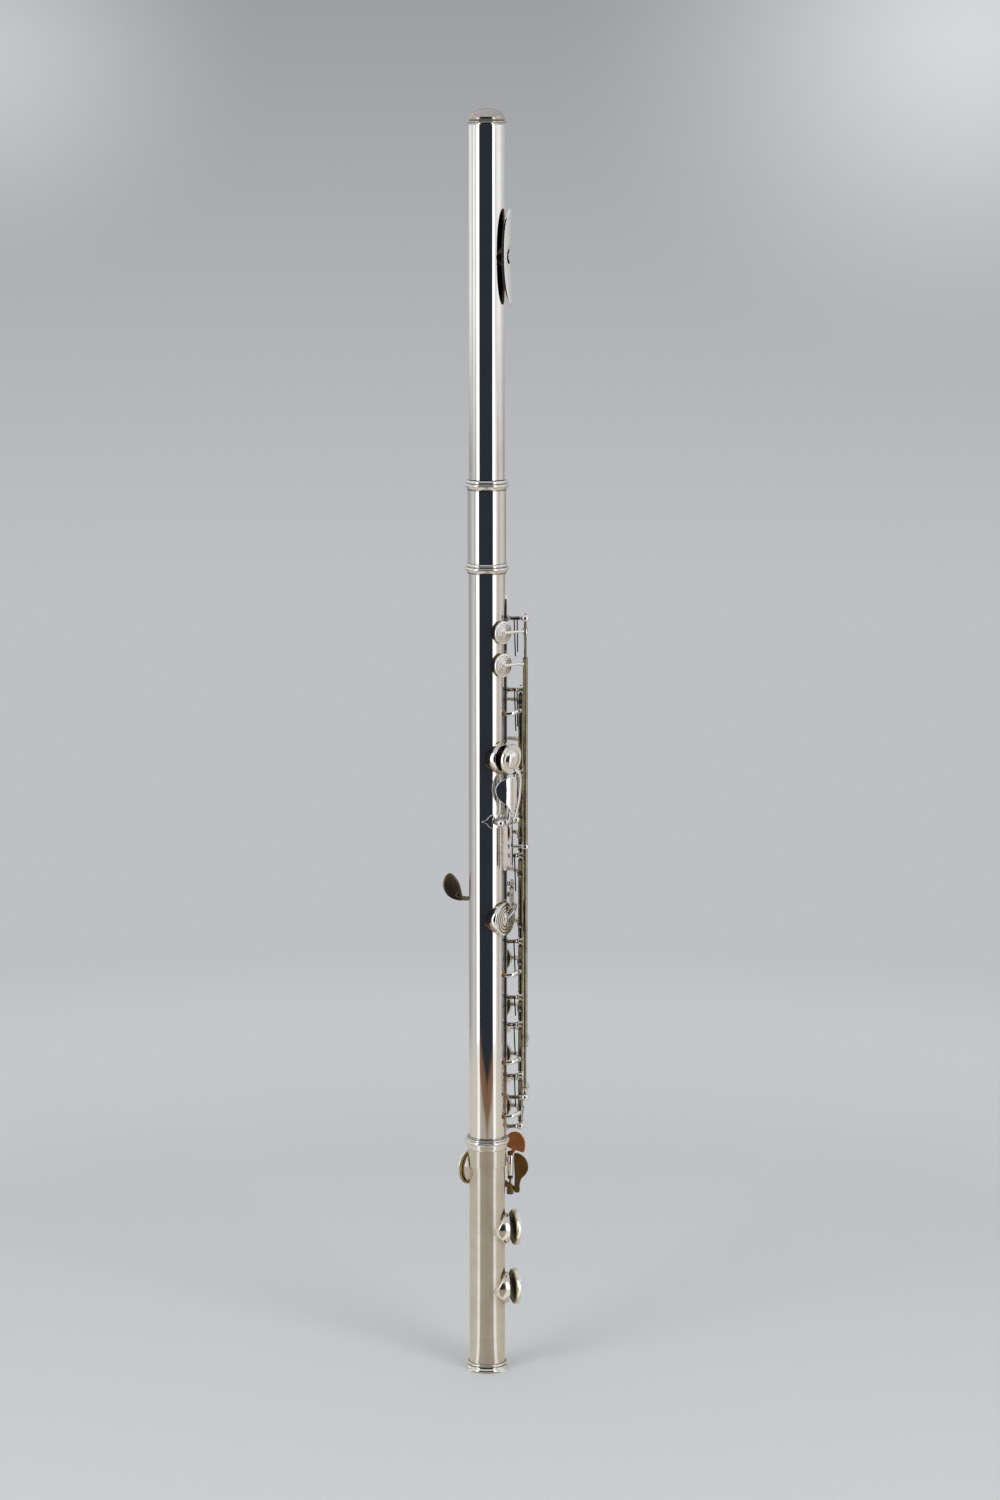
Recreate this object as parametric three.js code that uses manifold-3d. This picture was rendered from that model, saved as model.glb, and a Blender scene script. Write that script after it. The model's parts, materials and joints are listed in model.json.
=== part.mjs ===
// A concert flute with a C foot, standing upright on the end of its foot joint.
// Millimetres. The bore runs along +Z and the floor is z = 0.
// Azimuths are degrees round the tube: 0 faces -Y, 90 faces +X, 180 faces +Y.
// The keys are shown at rest: sprung-open keys stand open, closed keys are closed.

import * as THREE from 'three';
import { mergeVertices } from 'three/addons/utils/BufferGeometryUtils.js';
import Module from 'manifold-3d';

const wasm = await Module();
wasm.setup();

// ------------------------------------------------------------ driving sizes

const SIDES = { tube: 24, ring: 24, hole: 14, notch: 10, cup: 14, ball: 8, rod: 8, shaft: 5, arm: 5, lip: 28 };

const BORE = 9.45; // radius of the cylindrical bore of body and foot
const TUBE = 9.8; // outside radius of body and foot
const FIT = 0.1; // air left round a sliding or soldered tube

const HEAD = { outside: 9.5, boreLow: 9.1, boreHigh: 8.6, taperFrom: 520, low: 491.8, high: 678.5 };
const TENON = { low: 452, high: 491.5 };
const BARREL = { inside: 9.62, outside: 10.3, low: 447, high: 491.3 };
const BARREL_RINGS = { outside: 12.1, upper: [486, 491.5], lower: [441.5, 446.9] };
const BODY = { low: 121.5, high: 446.9 };
const FOOT = { high: 121.2, endRing: 4.6, endRingOutside: 11.5 };
const SOCKET = { low: 115.5, high: 128.8, outside: 10.4 };
const SOCKET_RING = { low: 125.4, high: 132.2, outside: 12.3 };

const LIP = { azimuth: 85, height: 609.5, halfLength: 25.4, halfWidth: 9.3, thickness: 1.4 };
// The lip plate's saddle: its distance out of the axis, and how its ends flare
// outwards, its upper end leans in and its sides wrap round a bend radius.
const SADDLE_FORM = { inside: 11.2, flare: 1.05, lean: 0.35, bend: 13.4 };
const EMBOUCHURE = { along: 5, across: 6, wall: 1.6 };

const CROWN = { plug: 8, plugLow: 668, flangeLow: 679.3, flangeHigh: 681.3, flange: 10.6, top: 687 };
const CROWN_BORE = { radius: 1.75, high: 683 };
const STOPPER = { low: 627.1, high: 642.9, outside: 8.5, rod: 1.5, plate: 1, plateOutside: 8.3 };

const RIB = { inside: 9.9, outside: 10.9, from: 80, to: 116, low: 134, high: 430.2 };
const FOOT_RIB = { inside: 9.87, outside: 10.6, from: 156, to: 180, low: 37.5, high: 115.2 };
const SADDLE = { inside: 9.9, outside: 10.7, from: -13, to: 90, low: 304, high: 312.2 };

// Hinge lines parallel to the bore, as azimuth and distance from its axis.
const MAIN_LINE = hingeLine(99, 18.4);
const TRILL_LINE = hingeLine(88, 20.6);
const G_SHARP_LINE = hingeLine(112, 14.5);
const FOOT_LINE = hingeLine(168, 15.5);
const THUMB_AXIS = { azimuth: 54, height: 308.1, radius: 14.3, post: 7 };

const STEEL = 0.8; // radius of a hinge rod
const HINGE_TUBE = { inside: 1.05, outside: 1.45 };
const POST = { ball: 2.1, shaft: 1.15, bore: 0.95 };
const GUIDE_EYE = { height: 293, outside: 2.5, bore: 1.75, thickness: 2 };

const MAIN_POSTS = [378.3, 333, 287.5, 240, 208.9, 193.8, 165.1, 136.7];
const TRILL_POSTS = [417.3, 153.7];
const G_SHARP_POSTS = [256.8, 271.5];
const FOOT_POSTS = [41.5, 62, 115.8];

const OPEN = { main: 9, thumb: 6, foot: 8.5 }; // degrees a sprung-open key stands off

const CHIMNEY_WALL = 0.45;
const PAD_GAP = 0.15; // air between a closed pad and its rim, and behind the pad
const SKIRT = 0.55; // how far the cup's edge stays above the rim
const CUP_WALL = 0.5;

// Tone holes: height, azimuth, hole radius, distance of the rim from the bore's
// axis, radius of the cup over it and thickness of the pad in that cup.
const HOLES = {
  trill_1: hole(410.3, 48, 3.8, 10.6, 6.2, 1),
  trill_2: hole(392.7, 48, 3.8, 10.6, 6.4, 1),
  c_sharp: hole(371.5, 165, 3.6, 11.2, 6, 1.8),
  thumb: hole(342.2, 54, 6.9, 10.9, 8.1, 1.9),
  bb: hole(319.5, 165, 6.9, 11.5, 8.5, 2.2),
  a: hole(298.5, 165, 6.9, 11.5, 8.5, 2.2),
  g_upper: hole(277.3, 190, 6.9, 11.5, 8.5, 2.2),
  g_lower: hole(249.3, 190, 6.9, 11.5, 8.5, 2.2),
  g_sharp: hole(254, 58, 7, 10.5, 9.2, 1),
  f_sharp: hole(228.5, 165, 7.2, 11.5, 8.8, 2.2),
  f: hole(202.5, 165, 7.2, 11.5, 8.8, 2.2),
  e: hole(174.8, 165, 7.2, 11.5, 8.8, 2.2),
  d: hole(145.5, 165, 7.2, 11.5, 8.8, 2.2),
  d_sharp: hole(112.6, 235, 7.6, 11.3, 9.5, 1.2),
  low_c_sharp: hole(79.3, 97, 8, 11.7, 10, 2.2),
  low_c: hole(45.7, 97, 8, 11.7, 10, 2.2),
};
const FOOT_HOLES = ['d_sharp', 'low_c_sharp', 'low_c'];
const BODY_HOLES = Object.keys(HOLES).filter((name) => !FOOT_HOLES.includes(name));

// ---------------------------------------------------------------- materials

const finish = (color, roughness, metalness) =>
  new THREE.MeshStandardMaterial({ color, roughness, metalness, flatShading: true });

const SILVER = finish(0xd7d6d2, 0.12, 1);
const SATIN_SILVER = finish(0xa89e8d, 0.38, 1);
const DULL_SILVER = finish(0x9da093, 0.3, 1);
const ROD_STEEL = finish(0x8b8f94, 0.25, 1);
const PAD_SKIN = finish(0xc79f56, 0.7, 0);
const CORK = finish(0x9c6a3c, 0.85, 0);

// ------------------------------------------------------- places round the tube

function point(x, y, z) {
  return new THREE.Vector3(x, y, z);
}

function hole(height, azimuth, radius, rim, cup, pad) {
  return { height, azimuth, radius, rim, cup, pad };
}

/** The direction out of the tube at an azimuth. */
function outward(azimuth) {
  const angle = THREE.MathUtils.degToRad(azimuth);
  return point(Math.sin(angle), -Math.cos(angle), 0);
}

/** A point in space by azimuth, distance from the axis and height. */
function polar(azimuth, radius, height) {
  return outward(azimuth).multiplyScalar(radius).setZ(height);
}

function hingeLine(azimuth, radius) {
  const { x, y } = polar(azimuth, radius, 0);
  return { azimuth, radius, x, y };
}

/** Axes at a spot on the tube: x towards a growing azimuth, y up, z outwards. */
function spot(azimuth, height, radius = 0) {
  const out = outward(azimuth);
  const up = point(0, 0, 1);
  const across = new THREE.Vector3().crossVectors(up, out);
  const axes = new THREE.Matrix4().makeBasis(across, up, out);
  return axes.setPosition(polar(azimuth, radius, height));
}

// ------------------------------------------------------------- solid helpers

/** A closed mesh as a solid, with its seams welded and its empty faces dropped. */
function toSolid(geometry) {
  const bare = geometry.clone();
  bare.deleteAttribute('normal');
  bare.deleteAttribute('uv');
  const welded = mergeVertices(bare, 1e-4);
  const corners = welded.index.array;
  const triVerts = [];
  for (let i = 0; i < corners.length; i += 3) {
    const face = [corners[i], corners[i + 1], corners[i + 2]];
    if (new Set(face).size === 3) triVerts.push(...face);
  }
  const mesh = new wasm.Mesh({
    numProp: 3,
    vertProperties: new Float32Array(welded.getAttribute('position').array),
    triVerts: Uint32Array.from(triVerts),
  });
  return new wasm.Manifold(mesh);
}

function toGeometry(solid) {
  const mesh = solid.getMesh();
  const geometry = new THREE.BufferGeometry();
  geometry.setAttribute('position', new THREE.BufferAttribute(mesh.vertProperties, 3));
  geometry.setIndex(new THREE.BufferAttribute(mesh.triVerts, 1));
  return geometry;
}

function join(...pieces) {
  return toGeometry(pieces.map(toSolid).reduce((whole, piece) => whole.add(piece)));
}

function cut(base, ...tools) {
  return toGeometry(tools.map(toSolid).reduce((rest, tool) => rest.subtract(tool), toSolid(base)));
}

function common(first, second) {
  return toGeometry(toSolid(first).intersect(toSolid(second)));
}

// -------------------------------------------------------------- basic shapes

/** A profile of [radius, height] pairs spun about Z; it rises on its outside. */
function lathe(profile, sides) {
  const points = profile.map(([radius, height]) => new THREE.Vector2(radius, height));
  return new THREE.LatheGeometry(points, sides).rotateX(Math.PI / 2);
}

/** A plain ring or tube about Z. */
function ring(inside, outside, low, high, sides) {
  const profile = [[inside, low], [outside, low], [outside, high], [inside, high], [inside, low]];
  return lathe(profile, sides);
}

/** A solid drum about Z. */
function drum(radius, low, high, sides) {
  return lathe([[0, low], [radius, low], [radius, high], [0, high]], sides);
}

/** A straight round bar between two points. */
function bar(start, end, radius, sides = SIDES.rod) {
  const along = end.clone().sub(start);
  const turn = new THREE.Quaternion().setFromUnitVectors(point(0, 0, 1), along.clone().normalize());
  return drum(radius, 0, along.length(), sides).applyQuaternion(turn).translate(start.x, start.y, start.z);
}

/** A round bar swept along a smooth curve through the points. */
function sweep(points, radius, steps = 5) {
  const corners = [];
  for (let i = 0; i < SIDES.arm; i += 1) {
    const angle = (i / SIDES.arm) * 2 * Math.PI;
    corners.push(new THREE.Vector2(radius * Math.cos(angle), radius * Math.sin(angle)));
  }
  const extrudePath = new THREE.CatmullRomCurve3(points);
  return new THREE.ExtrudeGeometry(new THREE.Shape(corners), { steps, extrudePath });
}

/** Part of a tube wall between two azimuths. */
function shell(inside, outside, from, to, low, high, curveSegments = 10) {
  const start = THREE.MathUtils.degToRad(from - 90);
  const end = THREE.MathUtils.degToRad(to - 90);
  const section = new THREE.Shape();
  section.absarc(0, 0, outside, start, end, false);
  section.absarc(0, 0, inside, end, start, true);
  const settings = { depth: high - low, bevelEnabled: false, curveSegments };
  return new THREE.ExtrudeGeometry(section, settings).translate(0, 0, low);
}

/** A flat outline given a thickness along its own z, from low to high. */
function slab(outline, low, high) {
  const shape = new THREE.Shape(outline.map(([x, y]) => new THREE.Vector2(x, y)));
  const settings = { depth: high - low, bevelEnabled: false };
  return new THREE.ExtrudeGeometry(shape, settings).translate(0, 0, low);
}

/** Equal rings of points joined each to the next, and the last to the first. */
function loftedRing(rings) {
  const sides = rings[0].length;
  const index = [];
  rings.forEach((_, level) => {
    const [here, next] = [level * sides, ((level + 1) % rings.length) * sides];
    for (let i = 0; i < sides; i += 1) {
      const j = (i + 1) % sides;
      index.push(here + i, next + j, next + i, here + i, here + j, next + j);
    }
  });
  const geometry = new THREE.BufferGeometry().setFromPoints(rings.flat());
  geometry.setIndex(index);
  return geometry;
}

/** The outline of a superellipse; a power of 2 is an ellipse, more is squarer. */
function roundOutline(halfX, halfY, sides, power = 2) {
  const outline = [];
  for (let i = 0; i < sides; i += 1) {
    const angle = (i / sides) * 2 * Math.PI;
    const [c, s] = [Math.cos(angle), Math.sin(angle)];
    const x = halfX * Math.sign(c) * Math.abs(c) ** (2 / power);
    const y = halfY * Math.sign(s) * Math.abs(s) ** (2 / power);
    outline.push([x, y]);
  }
  return outline;
}

/** Geometry turned about a vertical hinge line. */
function turned(geometry, line, degrees) {
  const angle = THREE.MathUtils.degToRad(degrees);
  return geometry.translate(-line.x, -line.y, 0).rotateZ(angle).translate(line.x, line.y, 0);
}

// ------------------------------------------------------------- parts of keys

/** A drum through the wall at a tone hole, out to a given distance. */
function holeDrum(tone, radius, out, sides = SIDES.hole) {
  return drum(radius, 0, out, sides).applyMatrix4(spot(tone.azimuth, tone.height));
}

/** Distances from the axis of the levels of a closed cup over its tone hole. */
function cupLevels({ rim, pad }) {
  const seat = rim + 2 * PAD_GAP + pad;
  return { edge: rim + SKIRT, padFace: rim + PAD_GAP, padBack: rim + PAD_GAP + pad, seat, top: seat + 1.1 };
}

function cup(tone) {
  const { edge, seat, top } = cupLevels(tone);
  const inside = tone.cup - CUP_WALL;
  const profile = [
    [0, seat], [inside, seat], [inside, edge], [tone.cup, edge],
    [tone.cup, top - 0.8], [tone.cup - 0.6, top - 0.45], [0, top],
  ];
  return lathe(profile, SIDES.cup).applyMatrix4(spot(tone.azimuth, tone.height));
}

function padDisc(tone) {
  const { padFace, padBack } = cupLevels(tone);
  const disc = drum(tone.cup - CUP_WALL - 0.2, padFace, padBack, SIDES.cup);
  return disc.applyMatrix4(spot(tone.azimuth, tone.height));
}

/** An arm through points given at a tone hole as [across, up, out]. */
function cupArm(tone, points, radius = 0.95) {
  const path = points.map(([across, up, out]) => point(across, up, out));
  return sweep(path, radius).applyMatrix4(spot(tone.azimuth, tone.height));
}

/** Where a hinge line lies, seen from a tone hole, as [across, out]. */
function lineFrom(tone, line) {
  const angle = THREE.MathUtils.degToRad(line.azimuth - tone.azimuth);
  return [line.radius * Math.sin(angle), line.radius * Math.cos(angle)];
}

/** An arm that rises from a hinge line, bends round the tube and ends over the cup. */
function wrapArm(tone, line) {
  const [across, out] = lineFrom(tone, line);
  const side = Math.sign(across);
  const { top } = cupLevels(tone);
  const reach = Math.abs(across);
  const points = [
    [across, 0, out], [side * (reach - 1), 0, (out + top) / 2 + 2],
    [side * reach * 0.66, 0, top + 0.75], [side * reach * 0.3, 0, top + 0.6], [0, 0, top + 0.45],
  ];
  return cupArm(tone, points);
}

function hingeTube(line, low, high) {
  return drum(HINGE_TUBE.outside, low, high, SIDES.rod).translate(line.x, line.y, 0);
}

function hingeBore(line, low, high, radius = HINGE_TUBE.inside) {
  return drum(radius, low - 1, high + 1, SIDES.rod).translate(line.x, line.y, 0);
}

function steelRod(line, low, high) {
  return drum(STEEL, low, high, SIDES.rod).translate(line.x, line.y, 0);
}

/** A tail that rests on the tube and stops a key from opening further. */
function stopFoot(line, height) {
  const path = [point(line.x, line.y, height), point(15.5, -1.5, height), polar(66, 10.9, height)];
  return sweep(path, 0.8, 5);
}

/** A post with a ball head on a hinge line, standing on the tube or its rib. */
function post(line, height, base, ball = POST.ball) {
  const foot = polar(line.azimuth, base, height);
  const head = polar(line.azimuth, line.radius, height);
  const knob = new THREE.SphereGeometry(ball, SIDES.ball, 4).rotateX(Math.PI / 2);
  return join(bar(foot, head, POST.shaft, SIDES.shaft), knob.translate(head.x, head.y, head.z));
}

// ---------------------------------------------------------- building the scene

const flute = new THREE.Group();
flute.name = 'concert_flute';

function section(name) {
  const group = new THREE.Group();
  group.name = name;
  flute.add(group);
  return group;
}

/** Adds a piece drawn in the flute's axes as a mesh that sits at its own pivot. */
function addPiece(group, name, geometry, material, pivot = point(0, 0, 0)) {
  const mesh = new THREE.Mesh(geometry.translate(-pivot.x, -pivot.y, -pivot.z), material);
  mesh.name = name;
  mesh.position.copy(pivot);
  group.add(mesh);
}

// ---------------------------------------------------------------- head joint

/** Half the embouchure's oval is `across` wide and `along` the tube tall. */
function embouchureDrum(grow, low, high) {
  const outline = roundOutline(EMBOUCHURE.across + grow, EMBOUCHURE.along + grow, SIDES.hole);
  return slab(outline, low, high).applyMatrix4(spot(LIP.azimuth, LIP.height));
}

function headTube() {
  const { outside, boreLow, boreHigh, taperFrom, low, high } = HEAD;
  const profile = [
    [boreLow, low], [outside, low], [outside, high], [boreHigh, high], [boreLow, taperFrom], [boreLow, low],
  ];
  return cut(lathe(profile, SIDES.tube), embouchureDrum(0, 0, outside + 1));
}

/** A point of the lip plate, bent from flat onto its saddle. */
function onSaddle(across, up, rise) {
  const { inside, flare, lean, bend } = SADDLE_FORM;
  const share = up / LIP.halfLength;
  const out = inside + flare * share ** 2 - lean * share - across ** 2 / (2 * bend);
  return point(across, up, out + rise).applyMatrix4(spot(LIP.azimuth, LIP.height));
}

/** The saddle-shaped plate round the embouchure. */
function lipPlate() {
  const hole = roundOutline(EMBOUCHURE.across, EMBOUCHURE.along, SIDES.lip);
  const rim = roundOutline(LIP.halfWidth, LIP.halfLength, SIDES.lip, 2.3);
  const shares = [0, 0.35, 0.7, 1];
  const levels = [
    ...shares.map((share) => [share, 0]),
    ...shares.toReversed().map((share) => [share, LIP.thickness]),
  ];
  const rings = levels.map(([share, rise]) => hole.map(([x, y], i) => {
    const [rimX, rimY] = rim[i];
    return onSaddle(x + (rimX - x) * share, y + (rimY - y) * share, rise);
  }));
  return loftedRing(rings);
}

/** How far out the riser reaches without touching the underside of the plate. */
function riserTop() {
  const { along, wall } = EMBOUCHURE;
  return SADDLE_FORM.inside - SADDLE_FORM.lean * (along + wall) / LIP.halfLength - FIT;
}

/** The chimney that carries the lip plate on the head tube. */
function riser() {
  const { along, wall } = EMBOUCHURE;
  const reach = along + wall + 1;
  const gap = ring(HEAD.outside + FIT, riserTop(), LIP.height - reach, LIP.height + reach, SIDES.tube);
  return cut(common(gap, embouchureDrum(wall, 5, 20)), embouchureDrum(0, 0, 20));
}

/** The end cap: a plug in the tube, a thin flange and a low dome. */
function crown() {
  const { plug, plugLow, flangeLow, flangeHigh, flange, top } = CROWN;
  const dome = [];
  for (let angle = 0; angle <= 90; angle += 30) {
    const turn = THREE.MathUtils.degToRad(angle);
    const rise = (top - flangeHigh) * Math.sin(turn);
    dome.push([(flange - 1) * Math.cos(turn), flangeHigh + rise]);
  }
  dome[dome.length - 1][0] = 0;
  const profile = [
    [0, CROWN_BORE.high], [CROWN_BORE.radius, CROWN_BORE.high], [CROWN_BORE.radius, plugLow],
    [plug, plugLow], [plug, flangeLow], [flange, flangeLow], [flange, flangeHigh], ...dome,
  ];
  return lathe(profile, SIDES.ring);
}

/** The stopper's threaded rod with the plates that hold the cork between them. */
function stopperScrew() {
  const { low, high, rod, plate, plateOutside } = STOPPER;
  const gap = 0.3;
  const lower = low - gap - plate;
  const upper = high + gap;
  const profile = [
    [0, lower], [plateOutside, lower], [plateOutside, lower + plate], [rod, lower + plate],
    [rod, upper], [plateOutside, upper], [plateOutside, upper + plate], [rod, upper + plate],
    [rod, HEAD.high + 0.5], [0, HEAD.high + 0.5],
  ];
  return lathe(profile, SIDES.hole);
}

const head = section('head_joint');
const cork = ring(STOPPER.rod + 0.25, STOPPER.outside, STOPPER.low, STOPPER.high, SIDES.hole);
addPiece(head, 'head_tube', headTube(), SILVER);
addPiece(head, 'lip_plate', lipPlate(), SILVER);
addPiece(head, 'embouchure_riser', riser(), SILVER);
addPiece(head, 'crown', crown(), DULL_SILVER);
addPiece(head, 'stopper_cork', cork, CORK);
addPiece(head, 'stopper_screw', stopperScrew(), ROD_STEEL);
addPiece(head, 'head_tenon', ring(HEAD.boreLow, HEAD.outside, TENON.low, TENON.high, SIDES.tube), SILVER);

// --------------------------------------------------------------- the barrel

/** A ring with two rounded beads, which grips the end of a tube. */
function beadedRing(inside, outside, low, high) {
  const waist = outside - 0.8;
  const middle = (low + high) / 2;
  const profile = [
    [inside, low], [waist, low], [outside, low + 0.7], [outside, middle - 0.6],
    [waist, middle], [outside, middle + 0.6], [outside, high - 0.7], [waist, high],
    [inside, high], [inside, low],
  ];
  return lathe(profile, SIDES.ring);
}

const barrel = section('barrel');
const { upper: upperRing, lower: lowerRing, outside: ringOutside } = BARREL_RINGS;
const sleeve = ring(BARREL.inside, BARREL.outside, BARREL.low, BARREL.high, SIDES.tube);
addPiece(barrel, 'barrel_sleeve', sleeve, SILVER);
addPiece(barrel, 'barrel_upper_ring', beadedRing(BARREL.outside + FIT, ringOutside, ...upperRing), SILVER);
addPiece(barrel, 'barrel_lower_ring', beadedRing(TUBE + FIT, ringOutside, ...lowerRing), SILVER);

// -------------------------------------------------- body tube, rib and posts

/** A tube with a chimney round each of its tone holes. */
function toneHoleTube(low, high, names) {
  const tones = names.map((name) => HOLES[name]);
  const chimneys = tones.map((tone) => holeDrum(tone, tone.radius + CHIMNEY_WALL, tone.rim));
  const openings = tones.map((tone) => holeDrum(tone, tone.radius, tone.rim + 1));
  const outside = join(drum(TUBE, low, high, SIDES.tube), ...chimneys);
  return cut(outside, drum(BORE, low - 1, high + 1, SIDES.tube), ...openings);
}

/** Drums that clear a strap of the chimneys beside it. */
function chimneyNotches(names) {
  return names.map((name) => {
    const tone = HOLES[name];
    return holeDrum(tone, tone.radius + CHIMNEY_WALL + 0.6, 14, SIDES.notch);
  });
}

function keyRib() {
  const wall = shell(RIB.inside, RIB.outside, RIB.from, RIB.to, RIB.low, RIB.high, 3);
  const saddleGap = shell(RIB.inside - 1, RIB.outside + 1, 60, SADDLE.to + 2, SADDLE.low - 0.4, SADDLE.high + 0.4);
  const strap = cut(wall, ...chimneyNotches(BODY_HOLES), saddleGap);
  const base = RIB.outside - 0.6;
  const eyeAt = polar(TRILL_LINE.azimuth, TRILL_LINE.radius, GUIDE_EYE.height);
  const half = GUIDE_EYE.thickness / 2;
  const eye = drum(GUIDE_EYE.outside, -half, half, SIDES.rod).translate(eyeAt.x, eyeAt.y, eyeAt.z);
  const posts = [
    ...MAIN_POSTS.map((height) => post(MAIN_LINE, height, base)),
    ...TRILL_POSTS.map((height) => post(TRILL_LINE, height, base)),
    ...G_SHARP_POSTS.map((height) => post(G_SHARP_LINE, height, base, 1.8)),
    bar(polar(TRILL_LINE.azimuth, base, GUIDE_EYE.height), eyeAt, POST.shaft, SIDES.shaft),
    eye,
  ];
  const bores = [
    hingeBore(MAIN_LINE, RIB.low, RIB.high, POST.bore),
    hingeBore(TRILL_LINE, RIB.low, RIB.high, POST.bore),
    hingeBore(TRILL_LINE, GUIDE_EYE.height - half, GUIDE_EYE.height + half, GUIDE_EYE.bore),
    hingeBore(G_SHARP_LINE, G_SHARP_POSTS[0] - 2, G_SHARP_POSTS[1] + 2, POST.bore),
  ];
  return cut(join(strap, ...posts), ...bores);
}

const bodySection = section('body_joint');
addPiece(bodySection, 'body_tube', toneHoleTube(BODY.low, BODY.high, BODY_HOLES), SILVER);
addPiece(bodySection, 'key_rib', keyRib(), SILVER);
addPiece(bodySection, 'main_steel_left', steelRod(MAIN_LINE, 240.2, 380), ROD_STEEL);
addPiece(bodySection, 'main_steel_right', steelRod(MAIN_LINE, 135, 239.8), ROD_STEEL);
addPiece(bodySection, 'g_sharp_steel', steelRod(G_SHARP_LINE, 255.4, 273), ROD_STEEL);

// ----------------------------------------------------- keys on the main line

const KEY_NOTES = {
  c_sharp: { tube: [335.4, 375.8], holes: ['c_sharp'], stops: [366], touch: 350 },
  bb: { tube: [308.8, 330.6], holes: ['bb'], stops: [] },
  a: { tube: [289.9, 308.5], holes: ['a'], stops: [] },
  g: { tube: [242.4, 285.1], holes: ['g_upper', 'g_lower'], stops: [] },
  f_sharp: { tube: [211.4, 237.6], holes: ['f_sharp'], stops: [222.5] },
  f: { tube: [196.2, 206.5], holes: ['f'], stops: [] },
  e: { tube: [167.6, 191.4], holes: ['e'], stops: [173.9] },
  d: { tube: [139.2, 162.6], holes: ['d'], stops: [143.6] },
};

/** A finger plate level with the cups, on an arm of its own. */
function fingerPlate(line, height, azimuth) {
  const place = { azimuth, height, rim: 11.5, pad: 1.2 };
  const { top } = cupLevels(place);
  const disc = drum(6, top - 1.2, top, SIDES.cup).applyMatrix4(spot(azimuth, height));
  return join(wrapArm(place, line), disc);
}

const keySection = section('keywork');

for (const [name, { tube, holes, stops, touch }] of Object.entries(KEY_NOTES)) {
  const [low, high] = tube;
  const pivot = point(MAIN_LINE.x, MAIN_LINE.y, (low + high) / 2);
  const raised = holes.flatMap((tone) => [cup(HOLES[tone]), wrapArm(HOLES[tone], MAIN_LINE)]);
  if (touch) raised.push(fingerPlate(MAIN_LINE, touch, 165));
  const open = turned(join(...raised), MAIN_LINE, -OPEN.main);
  const feet = stops.map((height) => stopFoot(MAIN_LINE, height));
  const key = cut(join(hingeTube(MAIN_LINE, low, high), open, ...feet), hingeBore(MAIN_LINE, low, high));
  addPiece(keySection, `${name}_key`, key, SILVER, pivot);
  for (const tone of holes) {
    const padPiece = turned(padDisc(HOLES[tone]), MAIN_LINE, -OPEN.main);
    addPiece(keySection, `${tone}_pad`, padPiece, PAD_SKIN, pivot);
  }
}

// ---------------------------------------------------------------- trill keys

/** An oval touch piece for a trill key, on an arm over the hinge tubes. */
function trillTouch(hub, height) {
  const path = [
    point(TRILL_LINE.x, TRILL_LINE.y, hub), point(22.3, 4, hub + 1),
    point(19, 12, height), point(12, 16.6, height), polar(150, 18.3, height),
  ];
  const plate = slab(roundOutline(4.5, 3.5, 12), 17.8, 19).applyMatrix4(spot(150, height));
  return join(sweep(path, 0.95, 8), plate);
}

/** A flat arm that leaves the middle of a small closed cup for the hinge line. */
function trillCup(tone) {
  const [across, out] = lineFrom(tone, TRILL_LINE);
  const { top } = cupLevels(tone);
  const boss = drum(1.6, top - 0.4, top + 0.7, SIDES.rod).applyMatrix4(spot(tone.azimuth, tone.height));
  const arm = cupArm(tone, [[0, 0, top + 0.3], [across / 2, 0, top + 1], [across, 0, out]], 0.8);
  return join(cup(tone), boss, arm);
}

function trillUpperKey() {
  const hub = hingeTube(TRILL_LINE, HOLES.trill_1.height - 1.8, HOLES.trill_1.height + 1.8);
  const lowHub = hingeTube(TRILL_LINE, 156.3, 159.1);
  const touch = trillTouch(157.6, 160.1);
  return join(steelRod(TRILL_LINE, 152, 419), hub, lowHub, trillCup(HOLES.trill_1), touch);
}

function trillLowerKey() {
  const [low, high] = [182, 396];
  const solid = join(hingeTube(TRILL_LINE, low, high), trillCup(HOLES.trill_2), trillTouch(184.9, 188.6));
  return cut(solid, hingeBore(TRILL_LINE, low, high));
}

const trillUpperPivot = point(TRILL_LINE.x, TRILL_LINE.y, HOLES.trill_1.height);
const trillLowerPivot = point(TRILL_LINE.x, TRILL_LINE.y, HOLES.trill_2.height);
addPiece(keySection, 'trill_1_key', trillUpperKey(), SILVER, trillUpperPivot);
addPiece(keySection, 'trill_1_pad', padDisc(HOLES.trill_1), PAD_SKIN, trillUpperPivot);
addPiece(keySection, 'trill_2_key', trillLowerKey(), SILVER, trillLowerPivot);
addPiece(keySection, 'trill_2_pad', padDisc(HOLES.trill_2), PAD_SKIN, trillLowerPivot);

// -------------------------------------------------------------- G sharp key

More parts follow.
